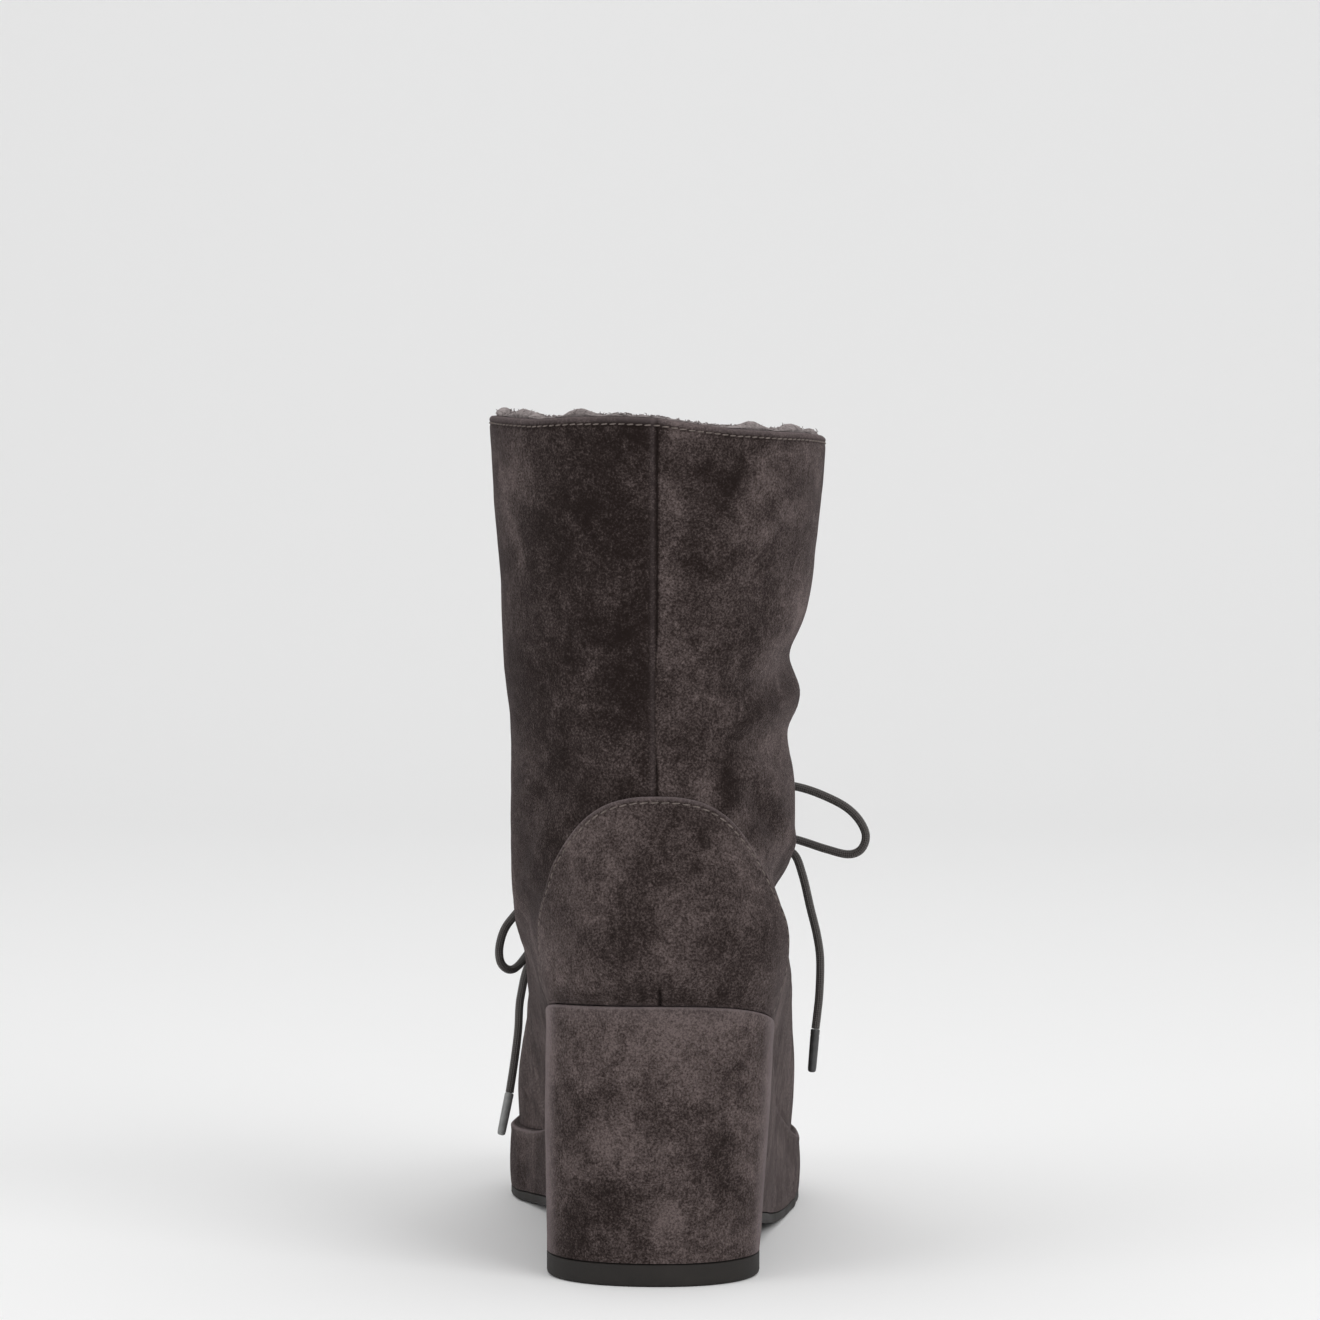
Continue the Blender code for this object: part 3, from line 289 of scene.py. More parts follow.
def smooth_column(table, columns, name, at):
    """A column read at any value of the table's first column, on a smooth curve without overshoot."""
    rows = np.array(table, float)
    x, y = rows[:, 0], rows[:, columns.index(name)]
    steps, rises = np.diff(x), np.diff(y) / np.diff(x)
    slopes = np.concatenate([rises[:1], np.zeros(len(x) - 2), rises[-1:]])
    for i in range(1, len(x) - 1):
        before, after = rises[i - 1], rises[i]
        if before * after > 0:
            slopes[i] = 2 * before * after / (before + after)
    at = np.clip(np.asarray(at, float), x[0], x[-1])
    i = np.clip(np.searchsorted(x, at) - 1, 0, len(x) - 2)
    t = (at - x[i]) / steps[i]
    return (
        y[i] * (1 + 2 * t) * (1 - t) ** 2
        + slopes[i] * steps[i] * t * (1 - t) ** 2
        + y[i + 1] * t**2 * (3 - 2 * t)
        + slopes[i + 1] * steps[i] * t**2 * (t - 1)
    )


def soft_step(value, start, end):
    share = np.clip((np.asarray(value, float) - start) / (end - start), 0.0, 1.0)
    return share * share * (3 - 2 * share)


def end_round(distance, length, power):
    """How wide a rounded end is, as a share, at a distance from its tip."""
    share = np.clip((length - distance) / length, 0.0, 1.0)
    return (1.0 - share**power) ** (1.0 / power)


def outline_reach(along, side):
    """How far the sole reaches to one side, before its ends are rounded."""
    station = along / SOLE_LENGTH
    of_ball = smooth_column(OUTLINE, OUTLINE_COLUMNS, "of_ball", station)
    share = smooth_column(OUTLINE, OUTLINE_COLUMNS, side, station)
    return share * (HEEL_WIDTH * (1 - of_ball) + BALL_WIDTH * of_ball) / 2


def outline_centre(along):
    return (outline_reach(along, "lateral") - outline_reach(along, "medial")) / 2


def outline_half_width(along):
    return (outline_reach(along, "lateral") + outline_reach(along, "medial")) / 2


def lateral_share(along, across):
    """0 at the sole's medial edge, 1 at its lateral edge."""
    half = outline_half_width(along)
    return np.clip((across - outline_centre(along)) / (2 * half) + 0.5, 0.0, 1.0)


def toe_lift(along):
    return TOE_SPRING * smooth_column(PROFILE, PROFILE_COLUMNS, "toe", along / SOLE_LENGTH)


def underside_height(along, across):
    """The outsole's lower face: flat under heel and ball, hollow under the arch, sprung at the toe."""
    station = along / SOLE_LENGTH
    medial = smooth_column(PROFILE, PROFILE_COLUMNS, "arch_medial", station)
    lateral = smooth_column(PROFILE, PROFILE_COLUMNS, "arch_lateral", station)
    share = lateral_share(along, across)
    return ARCH_RISE * (medial * (1 - share) + lateral * share) + toe_lift(along)


def outsole_thickness(along):
    """The outsole thickens to the top piece under the heel."""
    fade = soft_step(along / SOLE_LENGTH, *TOP_PIECE_STATIONS)
    return TOP_PIECE_THICKNESS + (OUTSOLE_THICKNESS - TOP_PIECE_THICKNESS) * fade


def feather_height(along, across):
    """The wedge's top face, which falls from heel to ball and lies a little lower on the outer side."""
    station = along / SOLE_LENGTH
    medial = smooth_column(PROFILE, PROFILE_COLUMNS, "pitch_medial", station)
    lateral = smooth_column(PROFILE, PROFILE_COLUMNS, "pitch_lateral", station)
    share = lateral_share(along, across)
    pitch = medial * (1 - share) + lateral * share
    return PLATFORM_HEIGHT + (HEEL_HEIGHT - PLATFORM_HEIGHT) * pitch + TOE_TOP_SHARE * toe_lift(along)


def heel_fade(along):
    """1 under the heel, 0 from the waist on."""
    return 1 - soft_step(along / SOLE_LENGTH, *TAPER_STATIONS)


def sole_ring(height, inset, taper=0.0, steps=150):
    """Points round the sole's outline: back, lateral side, tip, medial side. height(along, across)."""
    angle = math.pi * np.arange(2 * steps) / steps
    side = np.where(np.arange(2 * steps) < steps, 1.0, -1.0)
    length = SOLE_LENGTH - 2 * inset
    from_back = length * (1 - np.cos(angle)) / 2
    along = inset + from_back
    ends = end_round(from_back, SOLE_LENGTH * HEEL_ROUND_SHARE - inset, OUTLINE_POWER)
    ends = ends * end_round(length - from_back, SOLE_LENGTH * TOE_ROUND_SHARE - inset, OUTLINE_POWER)
    narrowing = np.where(side > 0, taper * heel_fade(along), 0.0)
    half = (outline_half_width(along) - inset - narrowing) * ends
    across = outline_centre(along) + side * half
    return np.stack([across, along - HEEL_CENTRE, height(along, across)], axis=1)


def section(level):
    """One section of the upper, as an (n, 3) array for each side, from its front to its back."""
    value = {
        name: float(smooth_column(LEVELS, LEVEL_COLUMNS, name, level)) for name in LEVEL_COLUMNS
    }
    back = UPPER_INSET + SHAFT_DEPTH * value["back_in"]
    shaft_front = UPPER_INSET + SHAFT_DEPTH
    front = shaft_front + (SOLE_LENGTH - UPPER_INSET - shaft_front) * value["reach"]
    length = front - back
    shaft = value["shaft_share"]
    back_edge = float(feather_height(max(back, 0.0), 0.0))
    front_edge = float(feather_height(front, float(outline_centre(front))))
    back_height = back_edge + (BOOT_HEIGHT - HEEL_HEIGHT) * value["back_rise"]
    front_height = front_edge + (INSTEP_HEIGHT - front_edge) * value["foot_rise"]
    front_height += (BOOT_HEIGHT - INSTEP_HEIGHT) * value["shaft_rise"]
    share = (1 + np.cos(np.linspace(0.0, math.pi, SECTION_SAMPLES))) / 2
    along = back + length * share
    centre = outline_centre(along)
    centre = np.where(centre > 0, centre * (1 - shaft), centre)
    sides = {}
    for side, back_name, half_name in (
        (-1, "back_medial", "half_medial"), (1, "back_lateral", "half_lateral"),
    ):
        ends = end_round(along - back, length * value[back_name], value["power"])
        ends = ends * end_round(front - along, length * value["front_round"], value["power"])
        foot_half = (outline_half_width(along) - UPPER_INSET) * value["fullness"]
        half = foot_half * (1 - shaft) + SHAFT_WIDTH / 2 * value[half_name] * shaft
        across = centre + side * half * ends
        straight = back_height + (front_height - back_height) * share
        sag = feather_height(along, across) - (back_edge + (front_edge - back_edge) * share)
        height = straight + sag * (1 - shaft) + FEATHER_CLEARANCE
        height = height - COLLAR_TILT * value["shaft_rise"] * across / (SHAFT_WIDTH / 2)
        across = across + side * fold_depth(side, along, height)
        sides[side] = np.stack([across, along - HEEL_CENTRE, height], axis=1)
    return sides


def fold_depth(side, along, height):
    """How far the slouch folds push one side of the upper outwards."""
    depth = np.zeros_like(along)
    for row in FOLDS:
        fold = dict(zip(FOLD_COLUMNS, row))
        if fold["side"] != side:
            continue
        run = along / SOLE_LENGTH - fold["station"]
        rise = height / BOOT_HEIGHT - fold["height"] - fold["slant"] * run
        shape = np.exp(-((run / fold["half_run"]) ** 2) - (rise / fold["half_height"]) ** 2)
        depth += SHAFT_WIDTH * fold["depth"] * shape
    return depth


SKIN = {}


def skin_table():
    """The upper's outer face, measured once: points of each side at even shares of its running length."""
    if not SKIN:
        shares = np.linspace(0.0, 1.0, SKIN_SHARES)
        for side in (-1, 1):
            SKIN[side] = np.empty((SKIN_LEVELS, SKIN_SHARES, 3))
            SKIN["length", side] = np.empty(SKIN_LEVELS)
        for row, level in enumerate(np.linspace(0.0, 1.0, SKIN_LEVELS)):
            for side, points in section(level).items():
                steps = np.linalg.norm(np.diff(points, axis=0), axis=1)
                runs = np.concatenate([[0.0], np.cumsum(steps)])
                SKIN["length", side][row] = runs[-1]
                for k in range(3):
                    SKIN[side][row, :, k] = np.interp(shares * runs[-1], runs, points[:, k])
    return SKIN


def side_length(level, side):
    return np.interp(level, np.linspace(0.0, 1.0, SKIN_LEVELS), skin_table()["length", side])


def skin(levels, runs):
    """Points of the upper's outer face. runs are measured from the front, lateral side positive."""
    table = skin_table()
    levels, runs = np.broadcast_arrays(np.clip(np.asarray(levels, float), 0, 1), np.asarray(runs, float))
    lateral, medial = side_length(levels, 1), side_length(levels, -1)
    side = np.where(runs >= 0, 1, -1)
    distance = np.abs(runs)
    total, other = np.where(side > 0, lateral, medial), np.where(side > 0, medial, lateral)
    past = distance > total
    share = np.where(past, (other - (distance - total)) / other, distance / total)
    side = np.where(past, -side, side)
    up, across = levels * (SKIN_LEVELS - 1), share * (SKIN_SHARES - 1)
    row = np.minimum(up.astype(int), SKIN_LEVELS - 2)
    column = np.minimum(across.astype(int), SKIN_SHARES - 2)
    f, g = (up - row)[..., None], (across - column)[..., None]
    points = np.empty((*runs.shape, 3))
    for s in (-1, 1):
        chosen = side == s
        i, j, a, b = row[chosen], column[chosen], f[chosen], g[chosen]
        face = table[s]
        points[chosen] = (
            (face[i, j] * (1 - b) + face[i, j + 1] * b) * (1 - a)
            + (face[i + 1, j] * (1 - b) + face[i + 1, j + 1] * b) * a
        )
    return points


def skin_normals(levels, runs):
    """The outward directions there, kept level at the feather edge."""
    levels, runs = np.broadcast_arrays(np.asarray(levels, float), np.asarray(runs, float))
    ring = skin(levels, runs + NORMAL_STEP) - skin(levels, runs - NORMAL_STEP)
    low, high = np.maximum(levels - NORMAL_RISE, 0.0), np.minimum(levels + NORMAL_RISE, 1.0)

    def length_at(level):
        return np.where(runs >= 0, side_length(level, 1), side_length(level, -1))

    def across_from(other):
        total, length = length_at(levels), length_at(other)
        beyond = np.sign(runs) * (np.abs(runs) - total + length)
        return np.where(np.abs(runs) < total, runs / total * length, beyond)

    upward = skin(high, across_from(high)) - skin(low, across_from(low))
    normals = np.cross(upward, ring)
    normals /= np.linalg.norm(normals, axis=-1)[..., None]
    normals[..., 2] *= np.minimum(1.0, levels / UPRIGHT_LEVEL)
    return normals / np.linalg.norm(normals, axis=-1)[..., None]


def over_skin(levels, runs, offsets):
    """Points at distances outside the upper's outer face."""
    return skin(levels, runs) + np.asarray(offsets, float)[..., None] * skin_normals(levels, runs)


def throat_half_width(level):
    return THROAT_WIDTH / 2 * float(smooth_column(THROAT, THROAT_COLUMNS, "half_width", level))


def front_path(levels):
    """Running length up the front centre line at each of the levels."""
    points = skin(levels, 0.0)
    return np.concatenate([[0.0], np.cumsum(np.linalg.norm(np.diff(points, axis=0), axis=1))])


def eyelet_levels():
    levels = np.linspace(THROAT_LEVELS[0], 1.0, 121)
    path = front_path(levels)
    return [float(np.interp(EYELET_FIRST + EYELET_PITCH * i, path, levels)) for i in range(3)]


def facing_run(level, share, side):
    return side * (throat_half_width(level) + FACING_MARGIN + FACING_WIDTH * share)


def eyelet_seat():
    """How far an eyelet's flange stands over the upper's outer face."""
    return FACING_CLEARANCE + FACING_THICKNESS + EYELET_CLEARANCE


def rough(points, size, seed, octaves=2):
    """Smooth noise from about -1 to 1 at points, with features of a real size."""
    shift = Vector((seed * 7.31, seed * 3.17, seed * 5.77))
    values = np.empty(len(points))
    for i, p in enumerate(points):
        values[i] = noise.fractal(Vector(p) / size + shift, 1.0, 2.0, octaves)
    return values


# Creases that the folds above leave to the surface. A crease has the height and the distance round
# from the back seam of its middle, its half length and half width, its turn and its depth, in metres.
CREASE_COLUMNS = ("height", "round", "half_length", "half_width", "turn", "depth")
CREASES = (
    (0.1890, 0.052, 0.026, 0.0050, 0.10, -0.0022),
    (0.1660, 0.050, 0.024, 0.0042, -0.25, -0.0020),
    (0.1775, 0.040, 0.020, 0.0050, -0.05, 0.0010),
    (0.1560, 0.030, 0.012, 0.0060, 0.75, 0.0011),
    (0.1480, 0.043, 0.020, 0.0046, -0.70, -0.0014),
    (0.1250, 0.064, 0.024, 0.0050, -0.35, -0.0022),
    (0.1350, 0.078, 0.024, 0.0042, -0.45, 0.0014),
    (0.2040, 0.034, 0.020, 0.0060, -0.50, 0.0008),
    (0.2350, 0.030, 0.018, 0.0050, 0.70, 0.0007),
    (0.1660, -0.040, 0.026, 0.0055, 0.20, -0.0010),
    (0.1490, -0.050, 0.022, 0.0045, 0.42, -0.0013),
    (0.1350, -0.060, 0.020, 0.0045, 0.55, -0.0012),
    (0.1420, -0.044, 0.018, 0.0045, 0.50, 0.0008),
    (0.1160, -0.070, 0.022, 0.0045, 0.35, -0.0012), (0.1860, 0.060, 0.020, 0.0060, 0.00, -0.0012),
    (0.1975, 0.058, 0.022, 0.0034, 0.00, -0.0011), (0.1737, 0.058, 0.020, 0.0034, 0.00, -0.0010),
)


def relief(points, round_back):
    """Creases and slow hollows of the worn suede, by height and by distance round from the back seam."""
    height = points[:, 2]
    value = 0.00055 * rough(points, 0.034, 1) + 0.00016 * rough(points, 0.010, 2)
    for row in CREASES:
        crease = dict(zip(CREASE_COLUMNS, row))
        across, up = round_back - crease["round"], height - crease["height"]
        turn = crease["turn"]
        run = across * math.cos(turn) + up * math.sin(turn)
        off = up * math.cos(turn) - across * math.sin(turn)
        shape = np.exp(-((run / crease["half_length"]) ** 2) - (off / crease["half_width"]) ** 2)
        value += crease["depth"] * shape
    return value * soft_step(height, 0.028, 0.060)


def add(tree, kind, inputs=None, **settings):
    """One node, with its settings, its input values and its links."""
    node = tree.nodes.new(kind)
    for name, value in settings.items():
        setattr(node, name, value)
    for name, value in (inputs or {}).items():
        socket = node.inputs[name]
        if isinstance(value, bpy.types.NodeSocket):
            tree.links.new(value, socket)
        else:
            socket.default_value = value
    return node


def new_material(name):
    """An empty material with its output, as (material, tree, output)."""
    material = bpy.data.materials.new(name)
    material.use_nodes = True
    tree = material.node_tree
    tree.nodes.clear()
    return material, tree, add(tree, "ShaderNodeOutputMaterial")


def rgba(colour):
    return (*colour, 1.0)


# Brushed suede: split leather whose nap is buffed up. It scatters light softly, goes pale along its
# edges, and shows hand marks where the nap lies in another direction. Its pale edge colour is also
# painted as sheen and highlights on the wedge, and its tone is darkened as painted shade in grooves.
HAND_MARK = 0.024
BRUSH_MARK = 0.007
NAP_GRAIN = 0.00070


def brushed_suede(name, colours):
    material, tree, out = new_material(name)
    place = add(tree, "ShaderNodeTexCoord").outputs["Object"]
    marks = add(tree, "ShaderNodeTexNoise", {
        "Vector": place, "Scale": 1 / HAND_MARK, "Detail": 3.0, "Roughness": 0.55, "Distortion": 0.8,
    })
    brush = add(tree, "ShaderNodeTexNoise", {
        "Vector": place, "Scale": 1 / BRUSH_MARK, "Detail": 4.0, "Roughness": 0.6, "Distortion": 1.4,
    })
    grain = add(tree, "ShaderNodeTexNoise", {
        "Vector": place, "Scale": 1 / NAP_GRAIN, "Detail": 3.0, "Roughness": 0.75,
    })
    tone = add(tree, "ShaderNodeAttribute", attribute_name="tone").outputs["Fac"]
    wear_and_sheen = add(tree, "ShaderNodeAttribute", attribute_name="wear_and_sheen").outputs["Fac"]
    broad = add(tree, "ShaderNodeMapRange", {0: marks.outputs["Fac"], 1: 0.34, 2: 0.66, 3: -0.19, 4: 0.19})
    fine = add(tree, "ShaderNodeMapRange", {0: brush.outputs["Fac"], 1: 0.32, 2: 0.68, 3: -0.16, 4: 0.16})
    speck = add(tree, "ShaderNodeMapRange", {0: grain.outputs["Fac"], 1: 0.30, 2: 0.70, 3: -0.42, 4: 0.42})
    first = add(tree, "ShaderNodeMath", {0: broad.outputs[0], 1: fine.outputs[0]}, operation="ADD")
    second = add(tree, "ShaderNodeMath", {0: first.outputs[0], 1: speck.outputs[0]}, operation="ADD")
    nap = add(tree, "ShaderNodeMath", {0: second.outputs[0], 1: tone}, operation="ADD", use_clamp=True)
    share = add(tree, "ShaderNodeMath", {0: nap.outputs[0], 1: 2.0}, operation="POWER")
    base = add(tree, "ShaderNodeMix", {
        0: share.outputs[0], 6: rgba(colours.suede_dark), 7: rgba(colours.suede_light),
    }, data_type="RGBA")
    # Mixes towards the pale edge colour by real wear, and by the painted sheen and highlights on the wedge.
    rim = add(tree, "ShaderNodeMix", {
        0: wear_and_sheen, 6: base.outputs[2], 7: rgba(colours.suede_worn_and_sheen),
    }, data_type="RGBA")
    height = add(tree, "ShaderNodeMath", {0: brush.outputs["Fac"], 1: 0.6}, operation="MULTIPLY")
    bump = add(tree, "ShaderNodeBump", {"Strength": 0.35, "Distance": 0.0012, "Height": height.outputs[0]})
    nap_bump = add(tree, "ShaderNodeBump", {
        "Strength": 0.9, "Distance": 0.0005, "Height": grain.outputs["Fac"], "Normal": bump.outputs[0],
    })
    shader = add(tree, "ShaderNodeBsdfPrincipled", {
        "Base Color": rim.outputs[2], "Roughness": 0.95, "Specular IOR Level": 0.12,
        "Sheen Weight": 0.55, "Sheen Roughness": 0.30, "Sheen Tint": rgba(colours.suede_worn_and_sheen),
        "Normal": nap_bump.outputs[0],
    })
    tree.links.new(shader.outputs[0], out.inputs[0])
    return material


# Wool pile: curled matt fibre, bright at its tips, with painted shade between its locks.
WOOL_LOCK = 0.0045
WOOL_FIBRE = 0.0007


def wool_pile(name, colours):
    material, tree, out = new_material(name)
    place = add(tree, "ShaderNodeTexCoord").outputs["Object"]
    locks = add(tree, "ShaderNodeTexNoise", {
        "Vector": place, "Scale": 1 / WOOL_LOCK, "Detail": 2.0, "Distortion": 2.2,
    })
    fibre = add(tree, "ShaderNodeTexNoise", {
        "Vector": place, "Scale": 1 / WOOL_FIBRE, "Detail": 3.0, "Distortion": 3.0,
    })
    shade = add(tree, "ShaderNodeMapRange", {0: locks.outputs["Fac"], 1: 0.30, 2: 0.68, 3: 0.55, 4: 1.15})
    flecks = add(tree, "ShaderNodeMapRange", {0: fibre.outputs["Fac"], 1: 0.3, 2: 0.7, 3: 0.75, 4: 1.2})
    both = add(tree, "ShaderNodeMath", {0: shade.outputs[0], 1: flecks.outputs[0]}, operation="MULTIPLY")
    base = add(tree, "ShaderNodeVectorMath", {
        0: tuple(colours.fleece), "Scale": both.outputs[0],
    }, operation="SCALE")
    bump = add(tree, "ShaderNodeBump", {"Strength": 0.8, "Distance": 0.002, "Height": locks.outputs["Fac"]})
    fibre_bump = add(tree, "ShaderNodeBump", {
        "Strength": 0.7, "Distance": 0.0005, "Height": fibre.outputs["Fac"], "Normal": bump.outputs[0],
    })
    shader = add(tree, "ShaderNodeBsdfPrincipled", {
        "Base Color": base.outputs[0], "Roughness": 1.0, "Specular IOR Level": 0.1,
        "Sheen Weight": 0.5, "Sheen Roughness": 0.5, "Sheen Tint": rgba(colours.fleece),
        "Normal": fibre_bump.outputs[0],
    })
    tree.links.new(shader.outputs[0], out.inputs[0])
    return material


# Moulded rubber: dull and nearly black, with a faint grain from the mould and dust on its edges.
def moulded_rubber(name, colours):
    material, tree, out = new_material(name)
    place = add(tree, "ShaderNodeTexCoord").outputs["Object"]
    dust = add(tree, "ShaderNodeTexNoise", {"Vector": place, "Scale": 1 / 0.009, "Detail": 5.0})
    grain = add(tree, "ShaderNodeTexNoise", {"Vector": place, "Scale": 1 / 0.0006, "Detail": 2.0})
    shade = add(tree, "ShaderNodeMapRange", {0: dust.outputs["Fac"], 1: 0.35, 2: 0.75, 3: 0.85, 4: 1.35})
    base = add(tree, "ShaderNodeVectorMath", {
        0: tuple(colours.rubber), "Scale": shade.outputs[0],
    }, operation="SCALE")
    roughness = add(tree, "ShaderNodeMapRange", {0: dust.outputs["Fac"], 1: 0.3, 2: 0.7, 3: 0.60, 4: 0.78})
    bump = add(tree, "ShaderNodeBump", {"Strength": 0.25, "Distance": 0.0002, "Height": grain.outputs["Fac"]})
    shader = add(tree, "ShaderNodeBsdfPrincipled", {
        "Base Color": base.outputs[0], "Roughness": roughness.outputs[0], "IOR": 1.52,
        "Specular IOR Level": 0.25,
        "Normal": bump.outputs[0],
    })
    tree.links.new(shader.outputs[0], out.inputs[0])
    return material


# Waxed round lace: a tight braid of cotton over a core, with a soft shine from the wax. One braid
# cell is drawn 1.4 mm long, coarser than the real one, so that it shows.
BRAID_CELLS_ROUND = 6
BRAID_CELL_LENGTH = 0.0014


def waxed_cotton(name, colours):
    material, tree, out = new_material(name)
    place = add(tree, "ShaderNodeUVMap", uv_map="braid").outputs[0]
    parts = add(tree, "ShaderNodeSeparateXYZ", {0: place})
    turns = add(tree, "ShaderNodeMath", {
        0: parts.outputs["X"], 1: 2 * math.pi * BRAID_CELLS_ROUND,
    }, operation="MULTIPLY")
    lengths = add(tree, "ShaderNodeMath", {
        0: parts.outputs["Y"], 1: 2 * math.pi / BRAID_CELL_LENGTH,
    }, operation="MULTIPLY")
    right = add(tree, "ShaderNodeMath", {0: turns.outputs[0], 1: lengths.outputs[0]}, operation="ADD")
    left = add(tree, "ShaderNodeMath", {0: turns.outputs[0], 1: lengths.outputs[0]}, operation="SUBTRACT")
    waves = [add(tree, "ShaderNodeMath", {0: s.outputs[0]}, operation="SINE") for s in (right, left)]
    cells = add(tree, "ShaderNodeMath", {0: waves[0].outputs[0], 1: waves[1].outputs[0]}, operation="MULTIPLY")
    shade = add(tree, "ShaderNodeMapRange", {0: cells.outputs[0], 1: -1.0, 2: 1.0, 3: 0.70, 4: 1.25})
    base = add(tree, "ShaderNodeVectorMath", {0: tuple(colours.cord), "Scale": shade.outputs[0]}, operation="SCALE")
    bump = add(tree, "ShaderNodeBump", {"Strength": 0.7, "Distance": 0.0003, "Height": cells.outputs[0]})
    shader = add(tree, "ShaderNodeBsdfPrincipled", {
        "Base Color": base.outputs[0], "Roughness": 0.62, "Specular IOR Level": 0.35,
        "Sheen Weight": 0.15, "Sheen Roughness": 0.4, "Normal": bump.outputs[0],
    })
    tree.links.new(shader.outputs[0], out.inputs[0])
    return material


# Spun polyester thread: matt, paler than the suede, with a twist finer than the render shows.
def spun_thread(name, colours):
    material, tree, out = new_material(name)
    place = add(tree, "ShaderNodeTexCoord").outputs["Object"]
    twist = add(tree, "ShaderNodeTexNoise", {"Vector": place, "Scale": 1 / 0.0011, "Detail": 2.0})
    shade = add(tree, "ShaderNodeMapRange", {0: twist.outputs["Fac"], 1: 0.3, 2: 0.7, 3: 0.62, 4: 1.2})
    base = add(tree, "ShaderNodeVectorMath", {0: tuple(colours.thread), "Scale": shade.outputs[0]}, operation="SCALE")
    bump = add(tree, "ShaderNodeBump", {"Strength": 0.4, "Distance": 0.0002, "Height": twist.outputs["Fac"]})
    shader = add(tree, "ShaderNodeBsdfPrincipled", {
        "Base Color": base.outputs[0], "Roughness": 0.8, "Specular IOR Level": 0.2,
        "Normal": bump.outputs[0],
    })
    tree.links.new(shader.outputs[0], out.inputs[0])
    return material


# Gunmetal: plated steel, dark and satin, a little rubbed where the lace runs.
def gunmetal(name, colours):
    material, tree, out = new_material(name)
    place = add(tree, "ShaderNodeTexCoord").outputs["Object"]
    rub = add(tree, "ShaderNodeTexNoise", {"Vector": place, "Scale": 1 / 0.0016, "Detail": 3.0})
    roughness = add(tree, "ShaderNodeMapRange", {0: rub.outputs["Fac"], 1: 0.3, 2: 0.7, 3: 0.22, 4: 0.46})
    shader = add(tree, "ShaderNodeBsdfPrincipled", {
        "Base Color": rgba(colours.metal), "Metallic": 1.0, "Roughness": roughness.outputs[0],
    })
    tree.links.new(shader.outputs[0], out.inputs[0])
    return material


# Acetate aglet: a smooth plastic film wound round the lace's end.
def wound_acetate(name, colour):
    material, tree, out = new_material(name)
    place = add(tree, "ShaderNodeTexCoord").outputs["Object"]
    film = add(tree, "ShaderNodeTexNoise", {"Vector": place, "Scale": 1 / 0.0022, "Detail": 2.0})
    shade = add(tree, "ShaderNodeMapRange", {0: film.outputs["Fac"], 1: 0.3, 2: 0.7, 3: 0.8, 4: 1.15})
    base = add(tree, "ShaderNodeVectorMath", {0: tuple(colour), "Scale": shade.outputs[0]}, operation="SCALE")
    bump = add(tree, "ShaderNodeBump", {"Strength": 0.15, "Distance": 0.0003, "Height": film.outputs["Fac"]})
    shader = add(tree, "ShaderNodeBsdfPrincipled", {
        "Base Color": base.outputs[0], "Roughness": 0.32, "IOR": 1.47, "Normal": bump.outputs[0],
    })
    tree.links.new(shader.outputs[0], out.inputs[0])
    return material


# Painted studio floor and paper sweep: plain and matt.
def studio_paper(name, colours):
    material, tree, out = new_material(name)
    place = add(tree, "ShaderNodeTexCoord").outputs["Object"]
    fibre = add(tree, "ShaderNodeTexNoise", {"Vector": place, "Scale": 1 / 0.4, "Detail": 2.0})
    shade = add(tree, "ShaderNodeMapRange", {0: fibre.outputs["Fac"], 3: 0.995, 4: 1.005})
    base = add(tree, "ShaderNodeVectorMath", {0: tuple(colours.floor), "Scale": shade.outputs[0]}, operation="SCALE")
    shader = add(tree, "ShaderNodeBsdfPrincipled", {
        "Base Color": base.outputs[0], "Roughness": 0.9, "Specular IOR Level": 0.1,
    })
    tree.links.new(shader.outputs[0], out.inputs[0])
    return material


MADE = {}


def material_of(name):
    """The named finish, made once."""
    colours = bpy.context.scene.boot_colours
    makers = {
        "suede": lambda: brushed_suede("brushed_suede", colours),
        "fleece": lambda: wool_pile("wool_pile", colours),
        "rubber": lambda: moulded_rubber("moulded_rubber", colours),
        "lace": lambda: waxed_cotton("waxed_cotton_lace", colours),
        "thread": lambda: spun_thread("spun_thread", colours),
        "metal": lambda: gunmetal("gunmetal_plate", colours),
        "aglet_clear": lambda: wound_acetate("clear_acetate", colours.aglet_clear),
        "aglet_dark": lambda: wound_acetate("dark_acetate", colours.aglet_dark),
        "paper": lambda: studio_paper("studio_paper", colours),
    }
    if name not in MADE:
        MADE[name] = makers[name]()
    return MADE[name]


def add_piece(name, vertices, faces, finish, replaced=(), angle=60, values=None, uv=None):
    """A mesh that rides on the boot. values are its per-point attributes, uv its loops' map."""
    mesh = bpy.data.meshes.new(name)
    mesh.from_pydata(np.asarray(vertices, float).tolist(), [], [tuple(map(int, f)) for f in faces])
    for key, numbers in (values or {}).items():
        mesh.attributes.new(key, "FLOAT", "POINT").data.foreach_set("value", np.asarray(numbers, np.float32))
    if uv is not None:
        mesh.uv_layers.new(name="braid").data.foreach_set("uv", np.asarray(uv, np.float32).ravel())
    shaped = bmesh.new()
    shaped.from_mesh(mesh)
    bmesh.ops.delete(shaped, geom=[v for v in shaped.verts if not v.link_faces], context="VERTS")
    bmesh.ops.recalc_face_normals(shaped, faces=shaped.faces)
    shaped.to_mesh(mesh)
    shaped.free()
    mesh.shade_smooth()
    mesh.set_sharp_from_angle(angle=math.radians(angle))
    mesh.materials.append(material_of(finish))
    piece = bpy.data.objects.new(name, mesh)
    bpy.context.scene.collection.objects.link(piece)
    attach(piece, "root")
    if replaced:
        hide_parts(*replaced)
    return piece


